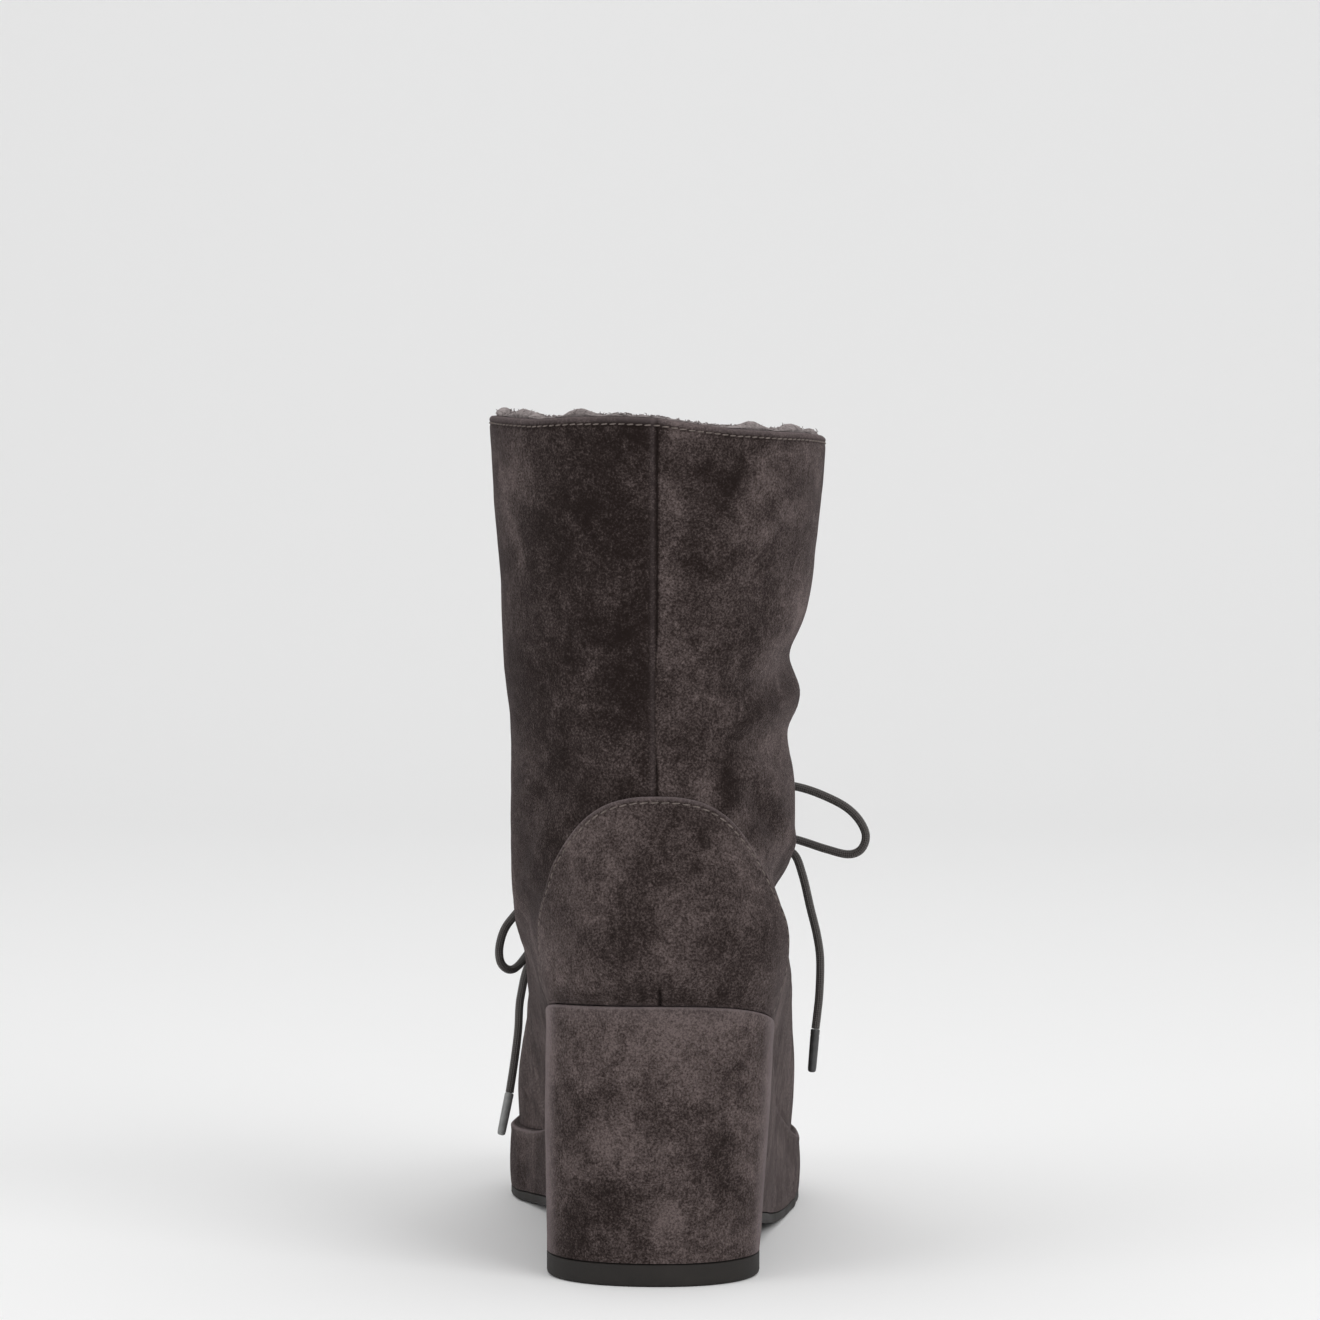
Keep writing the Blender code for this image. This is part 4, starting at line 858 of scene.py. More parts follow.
def shell(outer, inner, keep):
    """A closed wall between two grids of points whose columns may run round."""
    rows, columns = outer.shape[:2]
    vertices = np.concatenate([outer.reshape(-1, 3), inner.reshape(-1, 3)])
    half = rows * columns
    faces, edges = [], set()
    for r in range(rows - 1):
        for c in range(columns):
            if not keep(r, c):
                continue
            d = (c + 1) % columns
            cell = (r * columns + c, r * columns + d, (r + 1) * columns + d, (r + 1) * columns + c)
            faces.append(cell)
            faces.append(tuple(half + k for k in reversed(cell)))
            edges.update(zip(cell, cell[1:] + cell[:1]))
    for a, b in edges:
        if (b, a) not in edges:
            faces.append((b, a, half + a, half + b))
    return vertices, faces


def stacked(rings):
    """Rings joined in order, with both ends closed by rungs from side to side."""
    count = len(rings[0])
    vertices = np.concatenate(rings)
    faces = []
    for r in range(len(rings) - 1):
        low, high = r * count, (r + 1) * count
        for i in range(count):
            j = (i + 1) % count
            faces.append((low + i, low + j, high + j, high + i))
    for base, flip in ((0, True), ((len(rings) - 1) * count, False)):
        for i in range(count // 2):
            corners = (i, i + 1, (count - i - 1) % count, (count - i) % count)
            unique = tuple(dict.fromkeys(corners))
            if len(unique) > 2:
                face = tuple(base + k for k in unique)
                faces.append(face[::-1] if flip else face)
    return vertices, faces


def through(points, spacing):
    """Evenly spaced points on a smooth curve through a route's own points."""
    points = np.array(points, float)
    padded = np.vstack([2 * points[0] - points[1], points, 2 * points[-1] - points[-2]])
    fine = []
    for i in range(1, len(padded) - 2):
        a, b, c, d = padded[i - 1 : i + 3]
        for t in np.linspace(0.0, 1.0, 16, endpoint=False):
            fine.append(
                0.5 * (2 * b + (c - a) * t + (2 * a - 5 * b + 4 * c - d) * t**2
                       + (3 * b - 3 * c + d - a) * t**3)
            )
    fine = np.array(fine + [points[-1]])
    run = np.concatenate([[0.0], np.cumsum(np.linalg.norm(np.diff(fine, axis=0), axis=1))])
    at = np.linspace(0.0, run[-1], max(2, round(run[-1] / spacing) + 1))
    return np.stack([np.interp(at, run, fine[:, k]) for k in range(3)], axis=1)


def tube_parts(path, radii, sides=12, closed=False):
    """Vertices, faces and uv of a tube along a path, with rings that don't twist."""
    path = np.asarray(path, float)
    count = len(path)
    ahead = np.roll(path, -1, axis=0) - np.roll(path, 1, axis=0)
    if not closed:
        ahead[0], ahead[-1] = path[1] - path[0], path[-1] - path[-2]
    ahead /= np.linalg.norm(ahead, axis=1)[:, None]
    start = np.cross(ahead[0], (0.0, 0.0, 1.0))
    if np.linalg.norm(start) < 0.1:
        start = np.cross(ahead[0], (1.0, 0.0, 0.0))
    start /= np.linalg.norm(start)
    frames = [start]
    for i in range(1, count):
        turned = frames[-1] - ahead[i] * (frames[-1] @ ahead[i])
        frames.append(turned / np.linalg.norm(turned))
    frames = np.array(frames)
    others = np.cross(ahead, frames)
    angles = 2 * math.pi * np.arange(sides) / sides
    radii = np.broadcast_to(radii, (count,))
    rings = (
        path[:, None, :]
        + radii[:, None, None] * (np.cos(angles)[None, :, None] * frames[:, None, :]
                                  + np.sin(angles)[None, :, None] * others[:, None, :])
    )
    vertices = rings.reshape(-1, 3)
    along = np.concatenate([[0.0], np.cumsum(np.linalg.norm(np.diff(path, axis=0), axis=1))])
    faces, uv = [], []
    for r in range(count if closed else count - 1):
        s = (r + 1) % count
        top = along[s] if s > r else along[r] + np.linalg.norm(path[0] - path[-1])
        for c in range(sides):
            d = (c + 1) % sides
            faces.append((r * sides + c, r * sides + d, s * sides + d, s * sides + c))
            left, right = c / sides, (c + 1) / sides
            uv += [(left, along[r]), (right, along[r]), (right, top), (left, top)]
    if not closed:
        faces.append(tuple(range(sides))[::-1])
        faces.append(tuple((count - 1) * sides + k for k in range(sides)))
        uv += [(0.0, along[0])] * sides + [(0.0, along[-1])] * sides
    return vertices, faces, uv


def joined(parts):
    """Several (vertices, faces, uv) as one."""
    vertices, faces, uv, base = [], [], [], 0
    for part_vertices, part_faces, part_uv in parts:
        vertices.append(part_vertices)
        faces += [tuple(base + k for k in f) for f in part_faces]
        uv += list(part_uv)
        base += len(part_vertices)
    return np.concatenate(vertices), faces, uv


STITCH_SHAPE = ((-0.50, 0.30, -0.9), (-0.40, 0.75, -0.1), (-0.16, 1.0, 0.35), (0.16, 1.0, 0.35),
                (0.40, 0.75, -0.1), (0.50, 0.30, -0.9))


def stitches(path, normals, pitch, radius, filled=0.78, slant=0.10):
    """A row of stitches along a path on a surface: each dips into the leather at both ends."""
    run = np.concatenate([[0.0], np.cumsum(np.linalg.norm(np.diff(path, axis=0), axis=1))])
    parts = []
    for middle in np.arange(pitch / 2, run[-1], pitch):
        here = np.array([np.interp(middle, run, path[:, k]) for k in range(3)])
        ahead = np.array([np.interp(middle + pitch / 3, run, path[:, k]) for k in range(3)]) - np.array(
            [np.interp(middle - pitch / 3, run, path[:, k]) for k in range(3)]
        )
        ahead /= np.linalg.norm(ahead)
        up = np.array([np.interp(middle, run, normals[:, k]) for k in range(3)])
        up -= ahead * (up @ ahead)
        up /= np.linalg.norm(up)
        ahead = ahead + slant * np.cross(up, ahead)
        line = [here + ahead * t * pitch * filled + up * radius * lift for t, _, lift in STITCH_SHAPE]
        parts.append(tube_parts(line, [radius * r for _, r, _ in STITCH_SHAPE], sides=6))
    return joined(parts)


def level_at_back(height):
    """The level where the back of the upper reaches a height."""
    levels = np.linspace(0.0, 1.0, 201)
    return np.interp(height, skin(levels, side_length(levels, 1))[:, 2], levels)


def upper_columns(level):
    """Where the upper's columns stand on one level, once round from the throat's lateral edge."""
    gap = throat_half_width(level)
    even = np.linspace(0.0, 1.0, SIDE_COLUMNS + 2)[1:-1]
    shares = even * (1 - COLUMN_CROWDING) + (1 - np.cos(math.pi * even)) / 2 * COLUMN_CROWDING
    runs = []
    for side in (1, -1):
        length = side_length(level, side)
        first, last = gap + THROAT_EDGE_COLUMNS[-1], length - SEAM_COLUMNS[0]
        places = np.concatenate([
            gap + np.array(THROAT_EDGE_COLUMNS), first + (last - first) * shares,
            length - np.array(SEAM_COLUMNS),
        ])
        runs.append(side * places)
    middle = gap * np.array([-0.5, 0.0, 0.5])
    return np.concatenate([runs[0], runs[1][-2::-1], middle])


def distance_round(level, runs):
    """Distance round the boot from the back seam, lateral side positive."""
    side = np.where(runs >= 0, 1, -1)
    length = np.where(side > 0, side_length(level, 1), side_length(level, -1))
    return side * (length - np.abs(runs))


def collar_rows():
    """The upper's levels, closer together at the collar."""
    top = skin(1.0, side_length(1.0, 1))[2]
    edge = [float(level_at_back(top - drop)) for drop in COLLAR_EDGE_ROWS]
    first, last = THROAT_LEVELS
    low = list(np.linspace(0.0, first, 70))
    mid = list(np.linspace(first, last, 44)[1:])
    high = list(np.linspace(last, edge[-1], BODY_ROWS - 113)[1:-1])
    return low + mid + high + edge[::-1]


# How far the nap stands up on each piece, 0 laid and dark, 1 raised and pale
TONE_MEDIAL = 0.30
TONE_LATERAL = 0.54
TONE_COUNTER = 0.53
TONE_WEDGE = 0.64
TONE_VAMP = 0.55

# Marks that hands and folding leave in the nap: height and distance across from the back seam, their
# two half sizes, and how far they raise the nap. The photograph's largest marks are among them. Two of
# the upper's marks are painted highlights instead, the bright rims along the shaft's outline.
MARK_COLUMNS = ("height", "across", "half_height", "half_width", "raise")
UPPER_MARKS = (
    (0.254, 0.021, 0.008, 0.008, -0.24), (0.258, 0.044, 0.006, 0.007, 0.14),
    # Painted highlight: the mark 0.213 m high and 58 mm round on the lateral side brightens the shaft's outline.
    (0.2415, 0.030, 0.010, 0.006, 0.12), (0.213, 0.058, 0.018, 0.012, 0.32),
    (0.226, 0.0115, 0.015, 0.006, -0.10), (0.248, 0.045, 0.007, 0.006, -0.13),
    (0.223, 0.004, 0.012, 0.004, 0.12), (0.248, -0.006, 0.016, 0.007, -0.09),
    # Painted highlight: the mark 0.255 m high and 60 mm round on the medial side brightens the shaft's outline.
    (0.255, -0.060, 0.018, 0.013, 0.42), (0.1745, -0.025, 0.011, 0.008, 0.09),
    (0.193, -0.011, 0.013, 0.007, -0.08), (0.181, 0.036, 0.005, 0.014, -0.14),
    (0.187, 0.045, 0.005, 0.008, 0.12), (0.156, 0.0165, 0.006, 0.0045, 0.34),
    (0.158, 0.0255, 0.008, 0.0045, -0.36), (0.147, 0.043, 0.010, 0.008, -0.26),
    (0.166, 0.047, 0.006, 0.008, 0.12), (0.234, -0.030, 0.010, 0.014, -0.05),
    (0.212, -0.040, 0.012, 0.010, 0.07),
)
COUNTER_MARKS = (
    (0.0925, 0.000, 0.0045, 0.034, -0.20), (0.131, -0.028, 0.011, 0.006, 0.16),
    (0.101, -0.021, 0.005, 0.006, 0.16), (0.101, 0.012, 0.006, 0.007, 0.12),
    (0.133, -0.002, 0.009, 0.012, -0.08), (0.130, 0.021, 0.010, 0.007, -0.10),
    (0.118, 0.030, 0.012, 0.005, 0.10),
)
WEDGE_MARKS = (
    (0.076, -0.002, 0.010, 0.014, 0.22), (0.058, -0.023, 0.013, 0.007, -0.16),
    (0.047, 0.019, 0.015, 0.006, -0.20), (0.020, 0.001, 0.009, 0.005, 0.12),
    (0.036, 0.029, 0.008, 0.004, 0.16), (0.040, -0.004, 0.012, 0.008, -0.05),
    (0.022, -0.018, 0.012, 0.010, -0.08), (0.084, 0.028, 0.006, 0.006, 0.12),
)


def marked(points, across, marks):
    """How far a piece's marks raise or lay the nap at its points; a few of the upper's marks are painted highlights.
    """
    value = np.zeros(len(points))
    for row in marks:
        mark = dict(zip(MARK_COLUMNS, row))
        up = (points[:, 2] - mark["height"]) / mark["half_height"]
        side = (across - mark["across"]) / mark["half_width"]
        value += mark["raise"] * np.exp(-(up**2) - side**2)
    return value


def shaft_tone(points, round_back):
    """The nap of the upper: its two quarters are cut from hides brushed different ways. Its marks include painted
    highlights along the shaft's outline.
    """
    lateral = soft_step(round_back, -0.0006, 0.0012)
    lateral += (0.5 - lateral) * soft_step(np.abs(round_back), 0.060, 0.130)
    sides = TONE_MEDIAL + (TONE_LATERAL - TONE_MEDIAL) * lateral
    low = soft_step(points[:, 2], 0.150, 0.095) * soft_step(np.abs(round_back), 0.040, 0.070)
    return sides * (1 - low) + TONE_VAMP * low + marked(points, round_back, UPPER_MARKS)


# How the collar's edge rises and falls at the back, from its medial to its lateral side
COLLAR_RISE = (
    (-0.0545, -0.0002), (-0.0400, -0.0005), (-0.0270, 0.0010), (-0.0120, 0.0020), (0.0000, 0.0022),
    (0.0110, 0.0013), (0.0250, 0.0005), (0.0400, 0.0006), (0.0545, 0.0011),
)


def collar_wave(points):
    """How far the collar's edge rises and falls, as shifts of the points."""
    shift = np.zeros_like(points)
    near = soft_step(points[:, 2], BOOT_HEIGHT - 0.022, BOOT_HEIGHT - 0.003)
    behind = soft_step(points[:, 1], 0.045, 0.000)
    across, rises = zip(*COLLAR_RISE)
    back = np.interp(points[:, 0], across, rises)
    front = 0.0006 * rough(points * (1.0, 1.0, 0.0), 0.026, 21)
    shift[:, 2] = (back * behind + front * (1 - behind)) * near
    return shift


class BOOT_OT_upper(bpy.types.Operator):
    """Build the suede upper with its back seam, collar edge and creases"""

    bl_idname = "boot.upper"
    bl_label = "Upper"

    def execute(self, context):
        sizes = context.scene.boot_sizes
        rows = collar_rows()
        outer, inner, tone, wear_and_sheen = [], [], [], []
        top = rows[-1]
        counter_top = HEEL_HEIGHT + COUNTER_LIFT + COUNTER_HEIGHT
        for level in rows:
            runs = upper_columns(level)
            base, normals = skin(level, runs), skin_normals(level, runs)
            back = distance_round(level, runs)
            lift = relief(base, back)
            seam = soft_step(base[:, 2], counter_top - 0.004, counter_top + 0.001)
            lift -= seam * sizes.seam_depth * np.exp(-((back / 0.00035) ** 2))
            lift += seam * 0.00011 * np.exp(-(((back + 0.0012) / 0.0010) ** 2))
            lift += seam * 0.00008 * np.exp(-(((back - 0.0012) / 0.0009) ** 2))
            drop = (top - level) / (top - rows[-2]) * COLLAR_EDGE_ROWS[1]
            lift -= 0.00030 * np.exp(-(((drop - sizes.collar_stitch_inset) / 0.0007) ** 2))
            lift -= 0.0008 * max(0.0, 1 - drop / 0.0011) ** 2
            gap = np.abs(runs) - throat_half_width(level)
            inside = THROAT_LEVELS[0] - 0.002 <= level <= THROAT_LEVELS[1] + 0.002
            if inside:
                lift -= 0.0008 * np.clip(1 - np.abs(gap) / 0.0010, 0, 1) ** 2
            wave = collar_wave(base)
            outer.append(base + wave + lift[:, None] * normals)
            inner.append(base + wave - UPPER_WALL * normals)
            # Painted shade: the tone darkens in the back seam's groove and along the collar's stitch row.
            painted_seam_shade = 0.32 * seam * np.exp(-((back / 0.0005) ** 2))
            painted_stitch_row_shade = 0.30 * math.exp(-(((drop - sizes.collar_stitch_inset) / 0.0007) ** 2))
            tone.append(shaft_tone(base, back) - painted_seam_shade - painted_stitch_row_shade)
            rub = 0.35 * max(0.0, 1 - drop / 0.0022) + 0.10 * seam * np.exp(-(((back + 0.0014) / 0.0007) ** 2))
            wear_and_sheen.append(np.broadcast_to(rub, back.shape).copy())
        outer, inner = np.array(outer), np.array(inner)
        columns = outer.shape[1]
        first = int(np.argmin(np.abs(np.array(rows) - THROAT_LEVELS[0])))
        last = int(np.argmin(np.abs(np.array(rows) - THROAT_LEVELS[1])))

        def keep(row, column):
            return not (column >= columns - 4 and first <= row < last)

        vertices, faces = shell(outer, inner, keep)
        tone, wear_and_sheen = np.concatenate(tone), np.concatenate(wear_and_sheen)
        piece = add_piece(
            "upper_suede", vertices, faces, "suede", ["upper"], 70,
            {"tone": np.concatenate([tone, tone]), "wear_and_sheen": np.concatenate([wear_and_sheen, 0 * wear_and_sheen])},
        )
        pierce(piece)
        return {"FINISHED"}


def pierce(piece):
    """Cuts the six eyelet holes."""
    parts = []
    for level in eyelet_levels():
        for side in (-1, 1):
            run = facing_run(level, 0.5, side)
            ends = [over_skin(level, run, offset) for offset in (-0.0075, 0.0060)]
            parts.append(tube_parts(ends, EYELET_BARREL_RADIUS + EYELET_HOLE_MARGIN, sides=24))
    vertices, faces, _ = joined(parts)
    mesh = bpy.data.meshes.new("eyelet_punches")
    mesh.from_pydata(vertices.tolist(), [], faces)
    punches = bpy.data.objects.new("eyelet_punches", mesh)
    bpy.context.scene.collection.objects.link(punches)
    cut = piece.modifiers.new("holes", "BOOLEAN")
    cut.operation = "DIFFERENCE"
    cut.solver = "MANIFOLD"
    cut.object = punches
    graph = bpy.context.evaluated_depsgraph_get()
    holed = bpy.data.meshes.new_from_object(piece.evaluated_get(graph))
    piece.modifiers.clear()
    if len(holed.polygons) > 100:
        piece.data = holed
    bpy.data.objects.remove(punches)


def counter_edge():
    """The counter's outline as (distance round, height), up its lateral side and down its medial one."""
    side = np.array([(r * COUNTER_REACH, h * COUNTER_HEIGHT, 0.0) for r, h in COUNTER_EDGE])
    mirrored = side[-2::-1] * (-1.0, 1.0, 1.0)
    curve = through(np.concatenate([side, mirrored]), 0.0012)[:, :2]
    bottom = np.linspace(-side[0][0], side[0][0], 90)[1:-1]
    dense = np.array([-0.0016, -0.0010, -0.0006, -0.0003, 0.0, 0.0003, 0.0006, 0.0010, 0.0016])
    bottom = np.unique(np.concatenate([bottom[np.abs(bottom) > 0.0020], dense]))
    return np.concatenate([curve, np.stack([bottom, 0 * bottom], axis=1)])


def counter_points(places, offsets):
    """Points over the upper at (distance round, height above the feather edge)."""
    fine = np.linspace(0.0, 0.75, 151)
    heights = skin(fine, side_length(fine, 1))[:, 2]
    levels = np.interp(heights[0] + COUNTER_LIFT + places[:, 1], heights, fine)
    back = places[:, 0]
    runs = np.where(back >= 0, side_length(levels, 1) - back, -side_length(levels, -1) - back)
    return over_skin(levels, runs, relief(skin(levels, runs), back) + offsets)


class BOOT_OT_counter(bpy.types.Operator):
    """Build the heel counter with its skived edge, stitches and dart"""

    bl_idname = "boot.counter"
    bl_label = "Counter"

    def execute(self, context):
        sizes = context.scene.boot_sizes
        edge = counter_edge()
        centre = np.array([0.0, COUNTER_HEIGHT * 0.46])
        span = np.linalg.norm(edge - centre, axis=1)
        insets = np.array([0.0, 0.00018, 0.0005, 0.0009, 0.0013, 0.0017, 0.0020, 0.0024, 0.0030, 0.0042])
        rings, tone, wear_and_sheen = [], [], []
        upward = edge[:, 1] > 0.0005
        for shell_offset, outside in ((COUNTER_CLEARANCE, False), (COUNTER_THICKNESS, True)):
            shares = list(1 - insets[:, None] / span[None, :])
            shares += [np.full(len(edge), s) * (1 - insets[-1] / span) for s in np.linspace(0.93, 0.03, 20)]
            grid = []
            for k, share in enumerate(shares):
                places = centre + (edge - centre) * share[:, None]
                inset = insets[k] if k < len(insets) else 1.0
                if outside:
                    round_over = math.sqrt(max(0.0, 1 - max(0.0, 1 - inset / 0.0009) ** 2))
                    round_over = np.where(upward, round_over, 0.6 + 0.4 * round_over)
                    offset = COUNTER_CLEARANCE + COUNTER_THICKNESS * (0.30 + 0.70 * round_over)
                    offset -= 0.00030 * math.exp(-(((inset - sizes.counter_stitch_inset) / 0.0006) ** 2))
                    dart = np.exp(-((places[:, 0] / 0.00045) ** 2)) * soft_step(places[:, 1], 0.0066, 0.0050)
                    offsets = offset - 0.0011 * dart
                    worn = 0.45 * max(0.0, 1 - inset / 0.0015)
                    # Painted shade: the dart's groove gets none of the pale edge.
                    wear_and_sheen.append(np.where(upward, worn, 0.15 * worn) - 0.8 * dart)
                else:
                    offsets = np.full(len(edge), COUNTER_CLEARANCE * 0.6)
                    wear_and_sheen.append(np.zeros(len(edge)))
                grid.append(counter_points(places, offsets))
                over = HEEL_HEIGHT + COUNTER_LIFT
                heights = np.stack([0 * places[:, 0], 0 * places[:, 0], over + places[:, 1]], axis=1)
                nap = TONE_COUNTER + marked(heights, places[:, 0], COUNTER_MARKS)
                # Painted shade: the tone darkens in the dart's groove.
                tone.append(nap - (0.0 if not outside else 1.2 * dart))
            rings.append(grid)
        count = len(edge)
        vertices = np.concatenate([*rings[1][::-1], *rings[0]])
        tone = tone[len(rings[0]):][::-1] + tone[: len(rings[0])]
        wear_and_sheen = wear_and_sheen[len(rings[0]):][::-1] + wear_and_sheen[: len(rings[0])]
        faces = []
        total = 2 * len(rings[0])
        for r in range(total - 1):
            for c in range(count):
                d = (c + 1) % count
                faces.append((r * count + c, r * count + d, (r + 1) * count + d, (r + 1) * count + c))
        faces.append(tuple(range(count))[::-1])
        faces.append(tuple((total - 1) * count + k for k in range(count)))
        add_piece(
            "counter_suede", vertices, faces, "suede", ["counter"], 80,
            {"tone": np.concatenate(tone), "wear_and_sheen": np.clip(np.concatenate(wear_and_sheen), 0, 1)},
        )
        side = [i for i in range(count) if edge[i, 1] > 0.0008]
        inset = edge[side] + (centre - edge[side]) * (sizes.counter_stitch_inset / span[side])[:, None]
        lift = COUNTER_CLEARANCE + COUNTER_THICKNESS - 0.00026
        path = counter_points(inset, np.full(len(inset), lift))
        normals = counter_points(inset, np.full(len(inset), lift + 0.001)) - path
        vertices, faces, _ = stitches(path, normals, sizes.counter_stitch_pitch, sizes.thread_radius)
        add_piece("counter_stitches", vertices, faces, "thread")
        return {"FINISHED"}


class BOOT_OT_sole(bpy.types.Operator):
    """Build the covered wedge, the rubber outsole and the fleece footbed"""

    bl_idname = "boot.sole"
    bl_label = "Sole"

    def execute(self, context):
        def low(along, across):
            return underside_height(along, across) + outsole_thickness(along) + CLEARANCE

        bottom = sole_ring(low, 0.0, HEEL_TAPER)
        body = sole_ring(lambda a, c: feather_height(a, c) - WEDGE_EDGE_ROUND, 0.0)
        outward = outward_of(body)
        rings, wear_and_sheen = [], []
        tuck = sole_ring(low, 0.0006, HEEL_TAPER)
        rings.append(tuck)
        wear_and_sheen.append(np.zeros(len(tuck)))
        for share in np.linspace(0.0, 1.0, 34):
            ring = bottom + (body - bottom) * share
            swell = 0.00045 * math.sin(math.pi * share) + 0.00025 * math.exp(-(((1 - share) / 0.05) ** 2))
            lift = swell + 0.00035 * rough(ring, 0.030, 5) + 0.00010 * rough(ring, 0.009, 6)
            lift *= min(1.0, share / 0.05)
            rings.append(ring + lift[:, None] * outward)
            # Painted highlight: the wedge's side goes pale just under its rounded top edge.
            wear_and_sheen.append(np.full(len(ring), 0.10 * math.exp(-(((1 - share) / 0.04) ** 2))))
        for turn in np.linspace(0.0, math.pi / 2, 7)[1:]:
            inset = WEDGE_EDGE_ROUND * (1 - math.cos(turn))
            drop = WEDGE_EDGE_ROUND * (1 - math.sin(turn))
            ring = sole_ring(lambda a, c, drop=drop: feather_height(a, c) - drop, inset)
            rings.append(ring + 0.00022 * math.cos(turn) * outward)
            # Painted highlight: a pale band halfway round the wedge's rounded top edge.
            wear_and_sheen.append(np.full(len(ring), 0.50 * math.sin(2 * turn)))
        vertices, faces = stacked(rings)
        # Painted sheen: near the heel, the wedge's sides that face out to either side go pale as a bright rim along
        # its outline.
        painted_rim_sheen = soft_step(np.abs(outward[:, 0]), 0.86, 0.99) * soft_step(body[:, 1], 0.030, 0.004)
        wear_and_sheen = np.concatenate([w + 0.42 * painted_rim_sheen for w in wear_and_sheen])
        add_piece(
            "wedge_suede", vertices, faces, "suede", ["wedge"], 70,
            # The wedge's tone is darker towards its front and towards its bottom.
            {"tone": TONE_WEDGE - 0.10 * soft_step(vertices[:, 1], 0.02, 0.10)
                     - 0.10 * soft_step(vertices[:, 2], 0.045, 0.010)
                     + marked(vertices, vertices[:, 0], WEDGE_MARKS) * soft_step(vertices[:, 1], 0.02, 0.0),
             "wear_and_sheen": np.clip(wear_and_sheen, 0, 1)},
        )
        rubber = []
        for drop, inset in ((0.0, 0.0012), (0.00015, 0.0006), (0.0005, 0.00018), (0.0011, 0.0)):
            rubber.append(sole_ring(lambda a, c, drop=drop: underside_height(a, c) + drop, inset, HEEL_TAPER))
        for share in (0.35, 0.60, 0.86):
            rubber.append(sole_ring(
                lambda a, c, share=share: underside_height(a, c) + outsole_thickness(a) * share,
                0.0, HEEL_TAPER,
            ))
        for drop, inset in ((0.00035, 0.0), (0.0001, 0.0003), (0.0, 0.0010)):
            rubber.append(sole_ring(
                lambda a, c, drop=drop: underside_height(a, c) + outsole_thickness(a) - drop,
                inset, HEEL_TAPER,
            ))
        vertices, faces = stacked(rubber)
        add_piece("outsole_rubber", vertices, faces, "rubber", ["outsole"], 50)
        margin = UPPER_INSET + UPPER_WALL + INSOLE_MARGIN
        bed = []
        for rise, extra in ((INSOLE_CLEARANCE, 0.0), (0.0028, 0.0), (0.0036, 0.0008), (0.0040, 0.0022),
                            (0.0041, 0.006), (0.0041, 0.012), (0.0041, 0.018), (0.0041, 0.024)):
            ring = sole_ring(lambda a, c, rise=rise: feather_height(a, c) + rise, margin + extra)
            ring[:, 2] += (0.0007 * rough(ring, 0.006, 9)) * (1 if rise > 0.003 else 0)
            bed.append(ring)
        vertices, faces = stacked(bed)
        piece = add_piece("footbed_fleece", vertices, faces, "fleece", ["insole"], 80)
        return {"FINISHED"}


def outward_of(ring):
    """Level outward directions round a closed ring of points."""
    ahead = np.roll(ring, -1, axis=0) - np.roll(ring, 1, axis=0)
    out = np.stack([ahead[:, 1], -ahead[:, 0], 0 * ahead[:, 0]], axis=1)
    out /= np.linalg.norm(out, axis=1)[:, None]
    middle = ring.mean(axis=0)
    return out * np.where(((ring - middle) * out).sum(1) < 0, -1.0, 1.0)[:, None]


def lining_row(level, runs, pile):
    """How deep the lining's two faces lie under the upper's outer face on one level."""
    first, last = THROAT_LEVELS[0] - TONGUE_BELOW, THROAT_LEVELS[1] + TONGUE_ABOVE
    up = soft_step(level, first - 0.02, first) * soft_step(level, last + 0.02, last)
    across = soft_step(np.abs(runs), TONGUE_WIDTH / 2 + 0.004, TONGUE_WIDTH / 2 + 0.0005)
    behind = UPPER_WALL + 0.0002 + (CLEARANCE + TONGUE_THICKNESS) * up * across
    return behind, behind + pile


class BOOT_OT_lining(bpy.types.Operator):
    """Build the fleece lining, which stands over the collar in locks of wool"""

    bl_idname = "boot.lining"
    bl_label = "Lining"

    def execute(self, context):
        sizes = context.scene.boot_sizes
        levels = list(np.linspace(0.035, 0.94, 64)) + list(np.linspace(0.945, 1.0, 9))
        around = np.concatenate([np.linspace(0.0, 1.0, 76), -np.linspace(0.0, 1.0, 76)[-2:0:-1]])
        outer, inner = [], []
        for level in levels:
            runs = np.where(around >= 0, around * side_length(level, 1), around * side_length(level, -1))
            shallow, deep = lining_row(level, runs, sizes.pile_thickness)
            base, normals = skin(level, runs), skin_normals(level, runs)
            base = base + collar_wave(base)
            lumps = 0.0011 * rough(base, 0.0065, 11)
            outer.append(base - shallow[:, None] * normals)
            inner.append(base - (deep + lumps)[:, None] * normals)
        runs = np.where(around >= 0, around * side_length(1.0, 1), around * side_length(1.0, -1))
        rim, normals = skin(1.0, runs), skin_normals(1.0, runs)
        rise = rim_rise(rim, distance_round(1.0, runs), sizes.pile_rise)
        rim = rim + collar_wave(rim)
        for turn in np.linspace(0.0, math.pi / 2, 5)[1:]:
            half = (sizes.pile_thickness + 0.0006) / 2
            middle = UPPER_WALL - 0.0004 + half
            lift = np.stack([0 * rise, 0 * rise, rise * math.sin(turn)], axis=1)
            outer.append(rim - (middle - half * math.cos(turn)) * normals + lift)
            inner.append(rim - (middle + half * math.cos(turn)) * normals + lift)
        vertices, faces = shell(np.array(outer), np.array(inner), lambda r, c: True)
        piece = add_piece("lining_fleece", vertices, faces, "fleece", angle=80)
        vertices, faces, _ = joined(list(wool_locks(sizes)))
        add_piece("lining_wool", vertices, faces, "fleece", angle=80)
        return {"FINISHED"}


